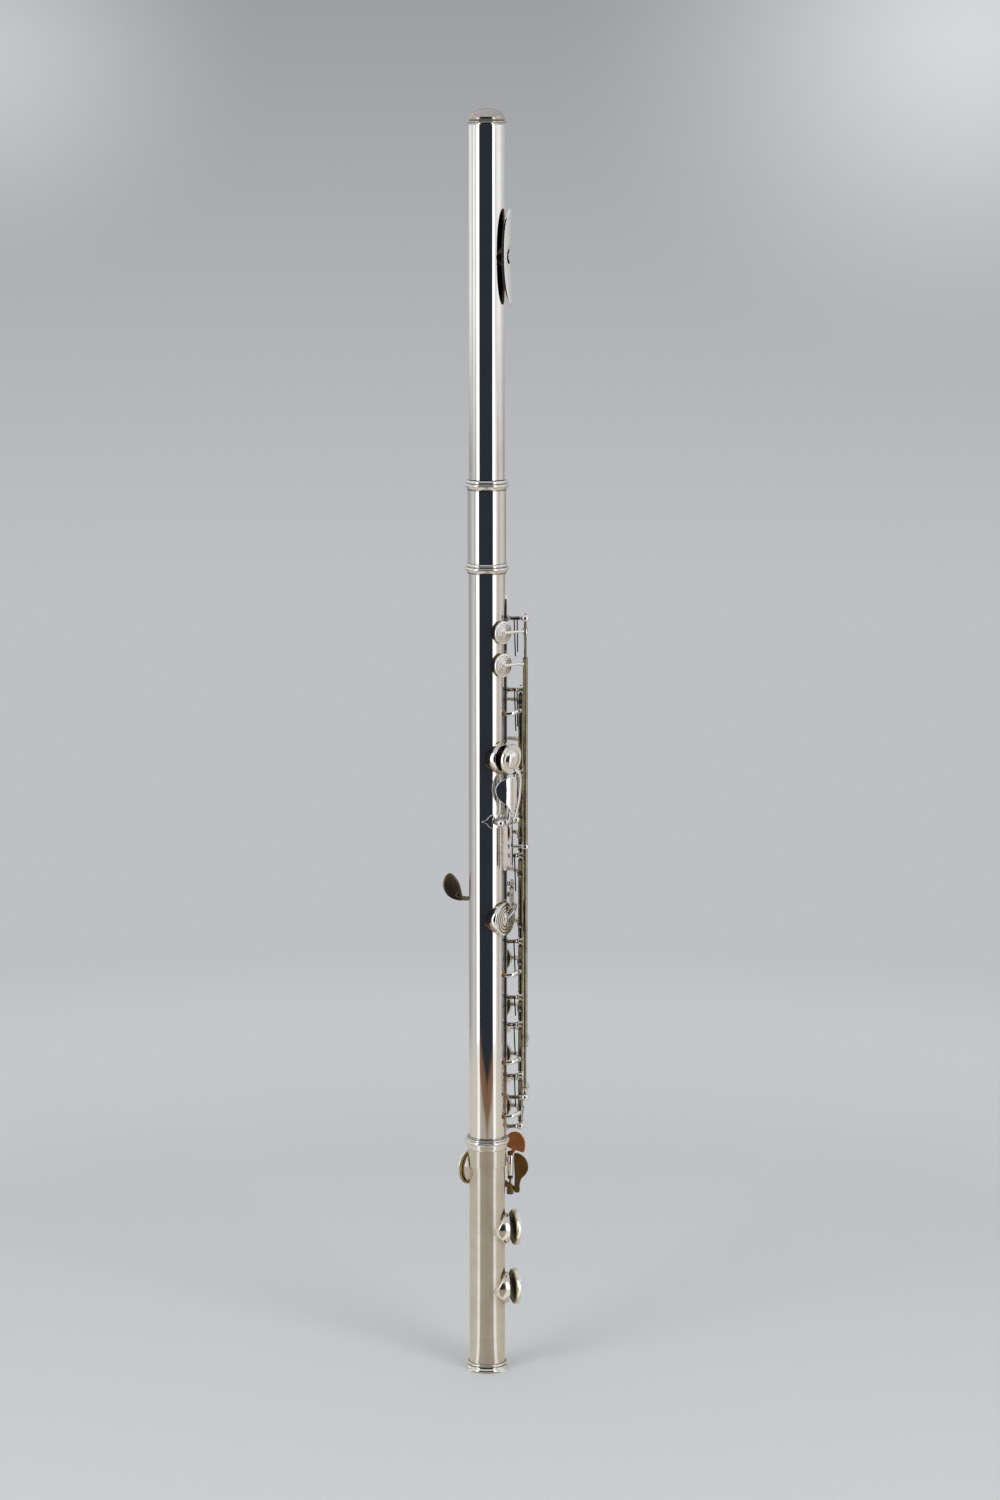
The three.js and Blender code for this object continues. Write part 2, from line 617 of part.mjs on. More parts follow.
/** A closed cup on one side of the tube and a teardrop lever round the other. */
function gSharpKey() {
  const tone = HOLES.g_sharp;
  const [low, high] = [258.9, 269.4];
  const [across, out] = lineFrom(tone, G_SHARP_LINE);
  const { top } = cupLevels(tone);
  const arm = cupArm(tone, [[across, 7, out], [10.3, 6.5, 11.6], [6, 4, top + 0.9], [0, 0.5, top + 0.3]], 0.8);
  const leverPath = [
    point(G_SHARP_LINE.x, G_SHARP_LINE.y, 266.5), point(10.5, 11.6, 264), point(1, 14.2, 262.4),
    point(-8.6, 11.6, 262), point(-14, 10, 263.5), point(-16, 10, 264.5),
  ];
  const teardrop = [
    [13.6, 261.2], [13.6, 264.6], [14.1, 266.9], [14.8, 269.8], [16.2, 272.8], [18.5, 275.6], [20.3, 276.4],
    [22.4, 275.5], [24, 272.4], [24.4, 269.4], [23.8, 266.9], [22, 264.3], [19.5, 262.3], [16.4, 261.2],
  ];
  const touch = slab(teardrop, 9.4, 10.6).applyMatrix4(spot(180, 0));
  const solid = join(hingeTube(G_SHARP_LINE, low, high), cup(tone), arm, sweep(leverPath, 0.95, 10), touch);
  return cut(solid, hingeBore(G_SHARP_LINE, low, high));
}

const gSharpPivot = point(G_SHARP_LINE.x, G_SHARP_LINE.y, 264);
addPiece(keySection, 'g_sharp_key', gSharpKey(), SILVER, gSharpPivot);
addPiece(keySection, 'g_sharp_pad', padDisc(HOLES.g_sharp), PAD_SKIN, gSharpPivot);

// ---------------------------------------------------------------- thumb keys
// Drawn at the pivot: x along the pivot rod, y up the tube, z outwards.

const THUMB_PLACE = spot(THUMB_AXIS.azimuth, THUMB_AXIS.height, THUMB_AXIS.radius);

/** A point from the pivot, given by its distance from the bore's axis. */
function thumbPoint(across, height, out) {
  return point(across, height - THUMB_AXIS.height, out - THUMB_AXIS.radius);
}

/** A drum along the pivot rod. */
function crossDrum(radius, from, to, sides = SIDES.rod) {
  return drum(radius, from, to, sides).rotateY(Math.PI / 2);
}

/** A saddle on the tube, pointed at one end, with a ball post at each end of the rod. */
function thumbSaddle() {
  const { inside, outside, from, to, low, high } = SADDLE;
  const wall = shell(inside, outside, from, to, low, high, 12);
  const outline = [[-16.5, 0], [-9.2, -4.1], [9.4, -4.1], [9.4, 4.1], [-9.2, 4.1]];
  const trim = slab(outline, 0, 20).applyMatrix4(spot(THUMB_AXIS.azimuth, THUMB_AXIS.height));
  const radius = Math.hypot(THUMB_AXIS.post, THUMB_AXIS.radius);
  const spread = THREE.MathUtils.radToDeg(Math.atan2(THUMB_AXIS.post, THUMB_AXIS.radius));
  const posts = [-spread, spread].map((turn) => {
    const line = hingeLine(THUMB_AXIS.azimuth + turn, radius);
    return post(line, THUMB_AXIS.height, (inside + outside) / 2);
  });
  const bore = crossDrum(POST.bore, -12, 12).applyMatrix4(THUMB_PLACE);
  return cut(join(common(wall, trim), ...posts), bore);
}

/** A thumb piece drawn with its pad down, turned to where its spring holds it open. */
function thumbOpened(geometry) {
  return geometry.rotateX(THREE.MathUtils.degToRad(OPEN.thumb));
}

const toThumbPivot = new THREE.Matrix4().copy(THUMB_PLACE).invert();

function thumbKey() {
  const closed = join(
    cup(HOLES.thumb).applyMatrix4(toThumbPivot),
    sweep([thumbPoint(1, 341, 14.6), thumbPoint(5.6, 337, 15), thumbPoint(6.9, 331, 15)], 0.9, 5),
    sweep([thumbPoint(6.9, 332, 15), thumbPoint(6.8, 321, 15), thumbPoint(4.2, 311, 15), point(3.4, 0, 0.6)], 0.9, 7),
  );
  const tail = slab([[3.6, -25], [5.6, -25], [4.3, 0], [2.6, 0]], -1.7, -0.9);
  const hub = crossDrum(1.9, 1.9, 4.4);
  return cut(join(thumbOpened(closed), tail, hub), crossDrum(HINGE_TUBE.inside, 0, 6));
}

/** The curved side lever beside the thumb plate. */
function thumbLever() {
  const wall = shell(15.3, 16.4, 18, 69, 317, 334, 8);
  const outline = roundOutline(9.2, 7.2, 18).map(([x, y]) => [x - 1.6, y]);
  const blank = slab(outline, 5, 25).applyMatrix4(spot(47, 325.4));
  const plate = common(wall, blank).applyMatrix4(toThumbPivot);
  const neck = sweep([thumbPoint(-1.6, 320, 15.9), thumbPoint(-1.6, 313, 15.9), point(-1.6, 0, 0.6)], 1.2, 5);
  const tail = slab([[-2.8, -25.5], [0.9, -25.5], [0.7, 0], [-2.6, 0]], -1.7, -0.9);
  const hub = crossDrum(1.9, -4.4, 1.5);
  return cut(join(plate, neck, tail, hub), crossDrum(HINGE_TUBE.inside, -6, 2.5));
}

const thumbSection = new THREE.Group();
thumbSection.name = 'thumb_keys';
thumbSection.applyMatrix4(THUMB_PLACE);
flute.add(thumbSection);
const thumbPad = thumbOpened(padDisc(HOLES.thumb).applyMatrix4(toThumbPivot));
addPiece(thumbSection, 'thumb_b_key', thumbKey(), SILVER);
addPiece(thumbSection, 'thumb_pad', thumbPad, PAD_SKIN);
addPiece(thumbSection, 'thumb_bb_lever', thumbLever(), SILVER);
addPiece(thumbSection, 'thumb_steel', crossDrum(STEEL, -8.6, 8.6), ROD_STEEL);
addPiece(bodySection, 'thumb_saddle', thumbSaddle(), SILVER);

// --------------------------------------------------------------- foot joint

/** A flat touch piece facing +Y, outlined by [x, height] pairs. */
function footPlate(outline, y) {
  const mirrored = outline.map(([x, height]) => [-x, height]);
  return slab(mirrored.reverse(), y - 0.5, y + 0.5).applyMatrix4(spot(180, 0));
}

function footRib() {
  const { inside, outside, from, to, low, high } = FOOT_RIB;
  const strap = cut(shell(inside, outside, from, to, low, high, 4), ...chimneyNotches(FOOT_HOLES));
  const posts = FOOT_POSTS.map((height) => post(FOOT_LINE, height, inside + 0.2));
  return cut(join(strap, ...posts), hingeBore(FOOT_LINE, low, high + 4, POST.bore));
}

function socketSleeve() {
  const wall = ring(TUBE + FIT, SOCKET.outside, SOCKET.low, SOCKET.high, SIDES.tube);
  const postClear = bar(polar(168, 8, 115.8), polar(168, 14, 115.8), POST.shaft + 0.4);
  return cut(wall, ...chimneyNotches(['d_sharp']), postClear);
}

/** A stepped ring that covers the end of the socket sleeve. */
function socketRing() {
  const { low, high, outside } = SOCKET_RING;
  const step = SOCKET.high + 0.3;
  const profile = [
    [SOCKET.outside + FIT, low], [outside - 0.8, low], [outside, low + 0.8], [outside, high - 0.8],
    [outside - 0.8, high], [TUBE + FIT, high], [TUBE + FIT, step], [SOCKET.outside + FIT, step],
    [SOCKET.outside + FIT, low],
  ];
  return lathe(profile, SIDES.ring);
}

function endRing() {
  const { endRing: high, endRingOutside: outside } = FOOT;
  const inside = TUBE + FIT;
  const profile = [
    [inside, 0], [outside, 0], [outside, high - 1], [outside - 0.8, high], [inside, high], [inside, 0],
  ];
  return lathe(profile, SIDES.ring);
}

function dSharpKey() {
  const tone = HOLES.d_sharp;
  const [low, high] = [106.6, 113.4];
  const [across, out] = lineFrom(tone, FOOT_LINE);
  const { top } = cupLevels(tone);
  const arm = cupArm(tone, [[across, 0, out], [-13.3, 0, 11], [-8, 0, top + 0.9], [0, 0, top + 0.4]]);
  const touchPath = [
    point(FOOT_LINE.x, FOOT_LINE.y, 108.5), point(9, 16, 113), point(14, 13.8, 119.5), point(16, 10.9, 125),
  ];
  const touch = footPlate([[9.9, 122.7], [12.3, 131.3], [18.2, 131.3], [20.9, 125], [20.4, 119.9]], 10.4);
  const solid = join(hingeTube(FOOT_LINE, low, high), cup(tone), arm, sweep(touchPath, 0.95), touch);
  return cut(solid, hingeBore(FOOT_LINE, low, high));
}

function openFootCup(tone) {
  return turned(join(cup(tone), wrapArm(tone, FOOT_LINE)), FOOT_LINE, OPEN.foot);
}

function lowCSharpKey() {
  const [low, high] = [76, 103];
  const touchPath = [point(FOOT_LINE.x, FOOT_LINE.y, 101.5), point(9, 14.5, 100.5), point(16.4, 9.8, 99)];
  const outline = [
    [15.3, 97.6], [15.3, 106], [14.8, 119.6], [21.1, 116.5], [22.6, 111.3], [21.4, 107.1],
    [18.2, 104.8], [17.6, 97.6],
  ];
  const solid = join(
    hingeTube(FOOT_LINE, low, high), openFootCup(HOLES.low_c_sharp),
    sweep(touchPath, 0.95, 6), footPlate(outline, 9.6),
  );
  return cut(solid, hingeBore(FOOT_LINE, low, high));
}

const ROLLER = { x: 12.6, y: 8, low: 105.6, high: 121, outside: 1.8, bore: 0.75, pin: 0.6 };

/** The lowest key: it turns the whole foot rod and carries the roller on a pin. */
function lowCKey() {
  const armPath = [
    point(FOOT_LINE.x, FOOT_LINE.y, 104.4), point(8, 12.8, 103.6), point(ROLLER.x, ROLLER.y, 101.2),
  ];
  const lug = drum(2, 96.9, 102.3, SIDES.rod).translate(ROLLER.x, ROLLER.y, 0);
  const pin = drum(ROLLER.pin, 100, ROLLER.high - 1.5, 8).translate(ROLLER.x, ROLLER.y, 0);
  return join(
    steelRod(FOOT_LINE, 40, 117), hingeTube(FOOT_LINE, 44.2, 47.2), hingeTube(FOOT_LINE, 103.4, 105.6),
    openFootCup(HOLES.low_c), sweep(armPath, 0.85, 6), lug, pin,
  );
}

function roller() {
  const { low, high, outside, bore, x, y } = ROLLER;
  const profile = [
    [0, high - 1], [bore, high - 1], [bore, low], [outside - 0.4, low],
    [outside, low + 0.5], [outside, high - 0.5], [outside - 0.4, high], [0, high],
  ];
  return lathe(profile, SIDES.rod).translate(x, y, 0);
}

const foot = section('foot_joint');
const footPivot = (height) => point(FOOT_LINE.x, FOOT_LINE.y, height);
const footPad = (tone, open) => turned(padDisc(tone), FOOT_LINE, open);
addPiece(foot, 'foot_tube', toneHoleTube(0, FOOT.high, FOOT_HOLES), SATIN_SILVER);
addPiece(foot, 'foot_socket_sleeve', socketSleeve(), SATIN_SILVER);
addPiece(foot, 'foot_socket_ring', socketRing(), SILVER);
addPiece(foot, 'foot_end_ring', endRing(), SATIN_SILVER);
addPiece(foot, 'foot_rib', footRib(), SILVER);
addPiece(foot, 'd_sharp_key', dSharpKey(), SILVER, footPivot(110));
addPiece(foot, 'd_sharp_pad', footPad(HOLES.d_sharp, 0), PAD_SKIN, footPivot(110));
addPiece(foot, 'low_c_sharp_key', lowCSharpKey(), SILVER, footPivot(89.5));
addPiece(foot, 'low_c_sharp_pad', footPad(HOLES.low_c_sharp, OPEN.foot), PAD_SKIN, footPivot(89.5));
addPiece(foot, 'low_c_key', lowCKey(), SILVER, footPivot(78));
addPiece(foot, 'low_c_pad', footPad(HOLES.low_c, OPEN.foot), PAD_SKIN, footPivot(78));
addPiece(foot, 'c_roller', roller(), SILVER, point(ROLLER.x, ROLLER.y, ROLLER.low));

// The origin is the middle of the box that holds the whole flute, on the floor.
const box = new THREE.Box3().setFromObject(flute, true);
const middle = box.getCenter(new THREE.Vector3());
flute.position.set(-middle.x, -middle.y, -box.min.z);

export default flute;
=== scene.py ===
"""A silver-plated concert flute with a C foot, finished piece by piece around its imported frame.

Shapes are drawn in millimetres from the foot of the bore's axis: +Z up the bore, azimuths in
degrees round the tube from -Y towards +X. Each piece is turned to metres when its mesh is made.
"""

import json
import logging
import math
from collections.abc import Callable, Iterable, Sequence
from dataclasses import dataclass, field
from enum import Enum

import bmesh
import bpy
from mathutils import Matrix, Vector


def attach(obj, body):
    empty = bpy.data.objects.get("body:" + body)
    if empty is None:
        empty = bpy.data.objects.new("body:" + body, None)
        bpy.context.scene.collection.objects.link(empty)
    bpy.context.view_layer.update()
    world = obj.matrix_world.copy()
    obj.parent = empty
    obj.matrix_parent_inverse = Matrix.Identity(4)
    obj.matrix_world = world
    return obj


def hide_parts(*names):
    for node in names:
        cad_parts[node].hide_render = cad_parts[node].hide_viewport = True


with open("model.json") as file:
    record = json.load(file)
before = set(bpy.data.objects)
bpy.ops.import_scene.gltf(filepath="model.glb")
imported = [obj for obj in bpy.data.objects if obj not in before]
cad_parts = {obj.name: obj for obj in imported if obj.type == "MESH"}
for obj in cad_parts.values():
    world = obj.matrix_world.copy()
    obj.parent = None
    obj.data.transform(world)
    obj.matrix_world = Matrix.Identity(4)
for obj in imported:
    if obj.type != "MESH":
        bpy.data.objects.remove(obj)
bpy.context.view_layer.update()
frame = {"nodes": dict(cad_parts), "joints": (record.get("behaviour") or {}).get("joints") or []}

MM = 0.001
UP = Vector((0, 0, 1))
LOG = logging.getLogger("flute")

Profile = list[tuple[float, float]]
Bands = tuple[tuple[float, str], ...]
Outline = Callable[[float], tuple[float, float]]
Place = Callable[[Vector], Vector]


# ------------------------------------------------------------------ places round the tube


def outward(azimuth: float) -> Vector:
    """The direction out of the tube at an azimuth in degrees."""
    angle = math.radians(azimuth)
    return Vector((math.sin(angle), -math.cos(angle), 0))


def polar(azimuth: float, radius: float, height: float) -> Vector:
    """A point by azimuth, distance from the bore's axis and height."""
    return outward(azimuth) * radius + UP * height


def spot(azimuth: float, height: float) -> Matrix:
    """Axes on the bore's axis facing out at an azimuth.

    Args:
        azimuth: where the z axis points, in degrees round the tube.
        height: the origin's height.

    Returns:
        A matrix whose x runs towards a growing azimuth, y up the tube and z outwards.
    """
    out = outward(azimuth)
    across = UP.cross(out)
    axes = Matrix((across, UP, out)).transposed().to_4x4()
    axes.translation = UP * height
    return axes


@dataclass(frozen=True)
class HingeLine:
    """A hinge rod parallel to the bore."""

    x: float
    y: float

    @property
    def azimuth(self) -> float:
        """Where the line stands round the tube, in degrees."""
        return math.degrees(math.atan2(self.x, -self.y))

    @property
    def radius(self) -> float:
        """The line's distance from the bore's axis."""
        return math.hypot(self.x, self.y)

    def at(self, height: float) -> Vector:
        """A point on the line."""
        return Vector((self.x, self.y, height))

    def turn(self, degrees: float) -> Matrix:
        """A turn about the line."""
        move = Matrix.Translation(self.at(0))
        return move @ Matrix.Rotation(math.radians(degrees), 4, "Z") @ move.inverted()

    def seen_from(self, azimuth: float) -> tuple[float, float]:
        """The line as [across, out] in the axes of a spot at an azimuth."""
        angle = math.radians(self.azimuth - azimuth)
        return self.radius * math.sin(angle), self.radius * math.cos(angle)


class Bench:
    """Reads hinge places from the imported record, in millimetres from the bore's axis."""

    def __init__(self, joints: list[dict]) -> None:
        """Keeps the joints by name and finds the bore's axis.

        Args:
            joints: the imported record's joints.
        """
        self.joints = {joint["name"]: joint for joint in joints}
        x, y, _ = self.joints["foot_swivel"]["pos_m"]
        self.axis = Vector((x / MM, y / MM, 0))

    def line(self, joint: str) -> HingeLine:
        """The upright hinge line of a joint."""
        x, y, _ = self.joints[joint]["pos_m"]
        return HingeLine(x / MM - self.axis.x, y / MM - self.axis.y)

    def to_frame(self, point: Vector) -> Vector:
        """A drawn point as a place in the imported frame, in metres."""
        return (point + self.axis) * MM


BENCH = Bench(frame["joints"])


# ------------------------------------------------------------------------ mesh making


def spline(points: Sequence[Sequence[float]], count: int, closed: bool = False) -> list[Vector]:
    """A smooth curve through points.

    Args:
        points: the points it passes through.
        count: how many points the result has.
        closed: whether it returns to its start.

    Returns:
        Points evenly spread over the curve's spans.
    """
    knots = [Vector(point) for point in points]
    spans = len(knots) if closed else len(knots) - 1
    result = []
    for i in range(count):
        place = i / count * spans if closed else i / (count - 1) * spans
        span = min(int(place), spans - 1)
        t = place - span
        if closed:
            a, b, c, d = (knots[(span + k) % len(knots)] for k in (-1, 0, 1, 2))
        else:
            b, c = knots[span], knots[span + 1]
            a = knots[span - 1] if span > 0 else b * 2 - c
            d = knots[span + 2] if span + 2 < len(knots) else c * 2 - b
        result.append(
            b + (c - a) * (t / 2) + (a * 2 - b * 5 + c * 4 - d) * (t * t / 2)
            + (b * 3 - a - c * 3 + d) * (t ** 3 / 2)
        )
    return result


def circle(angle: float) -> tuple[float, float]:
    """The unit circle as an outline."""
    return math.cos(angle), math.sin(angle)


def squared(half_x: float, half_y: float, power: float = 2.0) -> Outline:
    """A superellipse as an outline; a power of 2 is an ellipse."""

    def outline(angle: float) -> tuple[float, float]:
        """The outline's point at an angle."""
        c, s = math.cos(angle), math.sin(angle)
        x = half_x * math.copysign(abs(c) ** (2 / power), c)
        return x, half_y * math.copysign(abs(s) ** (2 / power), s)

    return outline


def freehand(points: Sequence[tuple[float, float]]) -> Outline:
    """A smooth closed outline through a few points, for touch pieces."""
    curve = spline([(x, y, 0) for x, y in points], 240, closed=True)

    def outline(angle: float) -> tuple[float, float]:
        """The outline's point at an angle."""
        point = curve[round(angle / math.tau * 240) % 240]
        return point.x, point.y

    return outline


def arc(start: tuple[float, float], end: tuple[float, float], bulge: float, steps: int = 6) -> Profile:
    """Profile points on a smooth bow between two points.

    Args:
        start: first point, as radius and height.
        end: last point.
        bulge: how far the middle stands to the left of the way from start to end.
        steps: how many spans the bow has.

    Returns:
        The points, both ends included.
    """
    (r0, h0), (r1, h1) = start, end
    dr, dh = r1 - r0, h1 - h0
    length = math.hypot(dr, dh)
    result = []
    for i in range(steps + 1):
        t = i / steps
        bow = bulge * math.sin(math.pi * t) ** 0.7 if 0 < i < steps else 0.0
        result.append((r0 + dr * t + dh / length * bow, h0 + dh * t - dr / length * bow))
    return result


class Shape:
    """Closed shells gathered into one piece."""

    def __init__(self) -> None:
        """Starts an empty piece."""
        self.points: list[Vector] = []
        self.stains: list[float] = []
        self.faces: list[tuple[int, ...]] = []
        self.finishes: list[int] = []

    def ring(self, points: Sequence[Vector], stain: float = 0.0) -> list[int]:
        """Adds a row of points and returns their numbers."""
        first = len(self.points)
        self.points.extend(points)
        self.stains.extend([stain] * len(points))
        return list(range(first, len(self.points)))

    def loft(
        self, rings: Sequence[Sequence[Vector]], closed: bool = False, finish: int = 0,
        stains: Sequence[float] | None = None, finishes: Sequence[int] | None = None,
    ) -> "Shape":
        """Skins rings of points; a ring of one point is a pole.

        Args:
            rings: the rings in order, with equal counts or one point.
            closed: whether the last ring joins the first.
            finish: the material of the shell.
            stains: how stained each ring is, from 0 to 1.
            finishes: the material of each span, where it changes.

        Returns:
            The same shape, so that calls can be chained.
        """
        rows = [self.ring(ring, stains[i] if stains else 0.0) for i, ring in enumerate(rings)]
        spans = list(zip(rows, rows[1:] + rows[:1]))
        if not closed:
            spans.pop()
            for row in (rows[0], rows[-1]):
                if len(row) > 2:
                    self.face(row, finish)
        for i, (low, high) in enumerate(spans):
            chosen = finishes[i] if finishes else finish
            count = max(len(low), len(high))
            for k in range(count):
                n = (k + 1) % count
                corners = [low[k % len(low)], low[n % len(low)], high[n % len(high)], high[k % len(high)]]
                self.face(list(dict.fromkeys(corners)), chosen)
        return self

    def face(self, corners: Sequence[int], finish: int) -> None:
        """Adds one face."""
        self.faces.append(tuple(corners))
        self.finishes.append(finish)

    def turned(
        self, profile: Profile, place: Matrix | Place, sides: int = 48, closed: bool = False,
        finish: int = 0, outline: Outline = circle, stains: Sequence[float] | None = None,
        finishes: Sequence[int] | None = None, middle: tuple[float, float] = (0.0, 0.0),
    ) -> "Shape":
        """A profile spun about local z, or carried round another outline.

        Args:
            profile: scale and height pairs; a scale of 0 is the pole.
            place: where the local axes lie.
            sides: how many points a ring has.
            closed: whether the profile returns to its start, as on a ring.
            finish: the material.
            outline: the unit outline that the scale multiplies.
            stains: how stained each profile point is.
            finishes: the material of each span.
            middle: the point that the outline shrinks towards.

        Returns:
            The same shape.
        """
        move = place if callable(place) and not isinstance(place, Matrix) else lambda p: place @ p
        rings = []
        for scale, height in profile:
            ring = []
            for k in range(1 if scale == 0 else sides):
                x, y = outline(k / sides * math.tau)
                x = middle[0] + (x - middle[0]) * scale
                y = middle[1] + (y - middle[1]) * scale
                ring.append(move(Vector((x, y, height))))
            rings.append(ring)
        return self.loft(rings, closed, finish, stains, finishes)

    def sweep(
        self, path: Sequence[Vector], sizes: Sequence[tuple[float, float]], flat: Vector = UP,
        steps: int = 24, sides: int = 14, finish: int = 0, stain: float = 0.0,
    ) -> "Shape":
        """A round-ended bar of oval section along a smooth path.

        Args:
            path: the points the bar passes through.
            sizes: half width along `flat` and half thickness, spread over the path.
            flat: the direction of the section's width.
            steps: how many sections the bar has.
            sides: how many points a section has.
            finish: the material.
            stain: how stained the bar is.

        Returns:
            The same shape.
        """
        line = spline(path, steps)
        widths = spline([(a, b, 0) for a, b in sizes], steps)
        tangents = []
        for i in range(steps):
            tangents.append((line[min(i + 1, steps - 1)] - line[max(i - 1, 0)]).normalized())
        stations = []
        for i in range(steps):
            stations.append((line[i], tangents[i], widths[i], 1.0))
        for end, sign in ((0, -1), (-1, 1)):
            reach = min(widths[end].x, widths[end].y)
            for part in (0.5, 0.87, 0.99):
                centre = line[end] + tangents[end] * (sign * reach * part)
                shrink = math.sqrt(1 - part * part)
                station = (centre, tangents[end], widths[end], shrink)
                stations.insert(0, station) if end == 0 else stations.append(station)
        rings = []
        for centre, tangent, width, shrink in stations:
            side = (flat - tangent * flat.dot(tangent)).normalized()
            rise = tangent.cross(side)
            ring = []
            for k in range(sides):
                c, s = circle(k / sides * math.tau)
                ring.append(centre + (side * (width.x * c) + rise * (width.y * s)) * shrink)
            rings.append(ring)
        return self.loft(rings, finish=finish, stains=[stain] * len(rings))

    def plate(
        self, outline: Outline, low: float, high: float, place: Matrix | Place, sides: int = 64,
        middle: tuple[float, float] = (0.0, 0.0), edge: float = 0.05, dome: float = 0.0,
        top: int = 0, under: int = 0,
    ) -> "Shape":
        """A thin plate with a rounded edge.

        Args:
            outline: its outline.
            low: height of its under face.
            high: height of its top face.
            place: where its axes lie.
            sides: how many points its outline has.
            middle: a point inside the outline that it shrinks towards.
            edge: how much of its width the rounded edge takes.
            dome: how much higher its middle is than its edge.
            top: the material of the top face.
            under: the material of the under face.

        Returns:
            The same shape.
        """
        half = (high - low) / 2
        inner = [0.0, 0.25, 0.5, 0.72, 0.88]
        levels: Profile = [(scale, low + dome * (1 - scale ** 2)) for scale in inner]
        rolls = 6
        for k in range(rolls + 1):
            angle = -math.pi / 2 + k / rolls * math.pi
            levels.append((1 - edge + edge * math.cos(angle), low + half + half * math.sin(angle)))
        levels += [(scale, high + dome * (1 - scale ** 2)) for scale in reversed(inner)]
        spans = len(levels) - 1
        chosen = [under if i < spans // 2 - 1 else top for i in range(spans)]
        return self.turned(levels, place, sides, outline=outline, finishes=chosen, middle=middle)

    def moved(self, matrix: Matrix, first: int = 0) -> "Shape":
        """Moves the points from number `first` on."""
        for i in range(first, len(self.points)):
            self.points[i] = matrix @ self.points[i]
        return self

    def add(self, other: "Shape") -> "Shape":
        """Takes in another shape's shells."""
        first = len(self.points)
        self.points += other.points
        self.stains += other.stains
        self.faces += [tuple(corner + first for corner in face) for face in other.faces]
        self.finishes += other.finishes
        return self

    def mesh(self, name: str, sharp: float = 38.0) -> bpy.types.Mesh:
        """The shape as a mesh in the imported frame.

        Args:
            name: the mesh's name.
            sharp: the angle in degrees over which an edge stays crisp.

        Returns:
            The mesh, with outward faces and a `stain` value on its points.
        """
        mesh = bpy.data.meshes.new(name)
        mesh.from_pydata([BENCH.to_frame(p) for p in self.points], [], self.faces)
        stain = mesh.attributes.new("stain", "FLOAT", "POINT")
        stain.data.foreach_set("value", self.stains)
        mesh.polygons.foreach_set("material_index", self.finishes)
        mesh.polygons.foreach_set("use_smooth", [True] * len(mesh.polygons))
        work = bmesh.new()
        work.from_mesh(mesh)
        bmesh.ops.recalc_face_normals(work, faces=work.faces)
        work.to_mesh(mesh)
        work.free()
        mesh.set_sharp_from_angle(angle=math.radians(sharp))
        return mesh


def object_of(mesh: bpy.types.Mesh) -> bpy.types.Object:
    """A linked object at the origin for a mesh."""
    thing = bpy.data.objects.new(mesh.name, mesh)
    bpy.context.scene.collection.objects.link(thing)
    return thing


def settle(thing: bpy.types.Object) -> bpy.types.Object:
    """Turns an object's modifiers into its own mesh."""
    graph = bpy.context.evaluated_depsgraph_get()
    mesh = bpy.data.meshes.new_from_object(thing.evaluated_get(graph))
    mesh.name = thing.name
    thing.modifiers.clear()
    thing.data = mesh
    return thing


def drilled(thing: bpy.types.Object, tools: Shape) -> bpy.types.Object:
    """Cuts one shape out of an object.

    Args:
        thing: the object to cut.
        tools: closed shells that don't touch each other.

    Returns:
        The cut object.
    """
    cutter = object_of(tools.mesh("cutter"))
    modifier = thing.modifiers.new("cut", "BOOLEAN")
    modifier.object = cutter
    modifier.solver = "EXACT"
    settle(thing)
    bpy.data.objects.remove(cutter)
    return thing


def round_normals(mesh: bpy.types.Mesh, radii: Iterable[float], slack: float = 0.02) -> None:
    """Gives walls that are round about the bore exact normals, so that cuts leave no streaks.

    Args:
        mesh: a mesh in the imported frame.
        radii: the distances from the bore's axis at which walls are round.
        slack: how far a point may be from a radius, in millimetres.
    """
    normals = []
    radii = list(radii)
    points = [Vector(v.co) / MM - BENCH.axis for v in mesh.vertices]
    corners = mesh.corner_normals
    for polygon in mesh.polygons:
        for loop in polygon.loop_indices:
            point = points[mesh.loops[loop].vertex_index]
            out = Vector((point.x, point.y, 0))
            facing = out.normalized().dot(polygon.normal)
            on_wall = any(abs(out.length - radius) < slack for radius in radii)
            if on_wall and abs(facing) > 0.9:
                normals.append(out.normalized() * math.copysign(1, facing))
            else:
                normals.append(Vector(corners[loop].vector))
    mesh.normals_split_custom_set(normals)


# ---------------------------------------------------------------------------- finishes


def linear(hex_colour: str, alpha: float = 1.0) -> tuple[float, float, float, float]:
    """An sRGB hex colour as linear values."""
    channels = [int(hex_colour[i:i + 2], 16) / 255 for i in (1, 3, 5)]
    values = [c / 12.92 if c <= 0.04045 else ((c + 0.055) / 1.055) ** 2.4 for c in channels]
    return values[0], values[1], values[2], alpha


def add_node(tree: bpy.types.NodeTree, kind: str, settings: dict | None = None, **inputs) -> bpy.types.Node:
    """Adds a node with its settings, values and links.

    Args:
        tree: the node tree.
        kind: the node's type name.
        settings: attributes of the node.
        **inputs: a value or a linked socket for each input; underscores stand for spaces and
            `i` with a number picks an input by place.

    Returns:
        The new node.
    """
    new = tree.nodes.new(kind)
    for name, value in (settings or {}).items():
        setattr(new, name, value)
    for name, value in inputs.items():
        by_place = name[0] == "i" and name[1:].isdigit()
        socket = new.inputs[int(name[1:])] if by_place else new.inputs[name.replace("_", " ")]
        if isinstance(value, bpy.types.NodeSocket):
            tree.links.new(value, socket)
        else:
            socket.default_value = value
    return new


def new_material(name: str) -> tuple[bpy.types.Material, bpy.types.NodeTree]:
    """A material with an empty node tree."""
    material = bpy.data.materials.new(name)
    material.use_nodes = True
    material.node_tree.nodes.clear()
    return material, material.node_tree


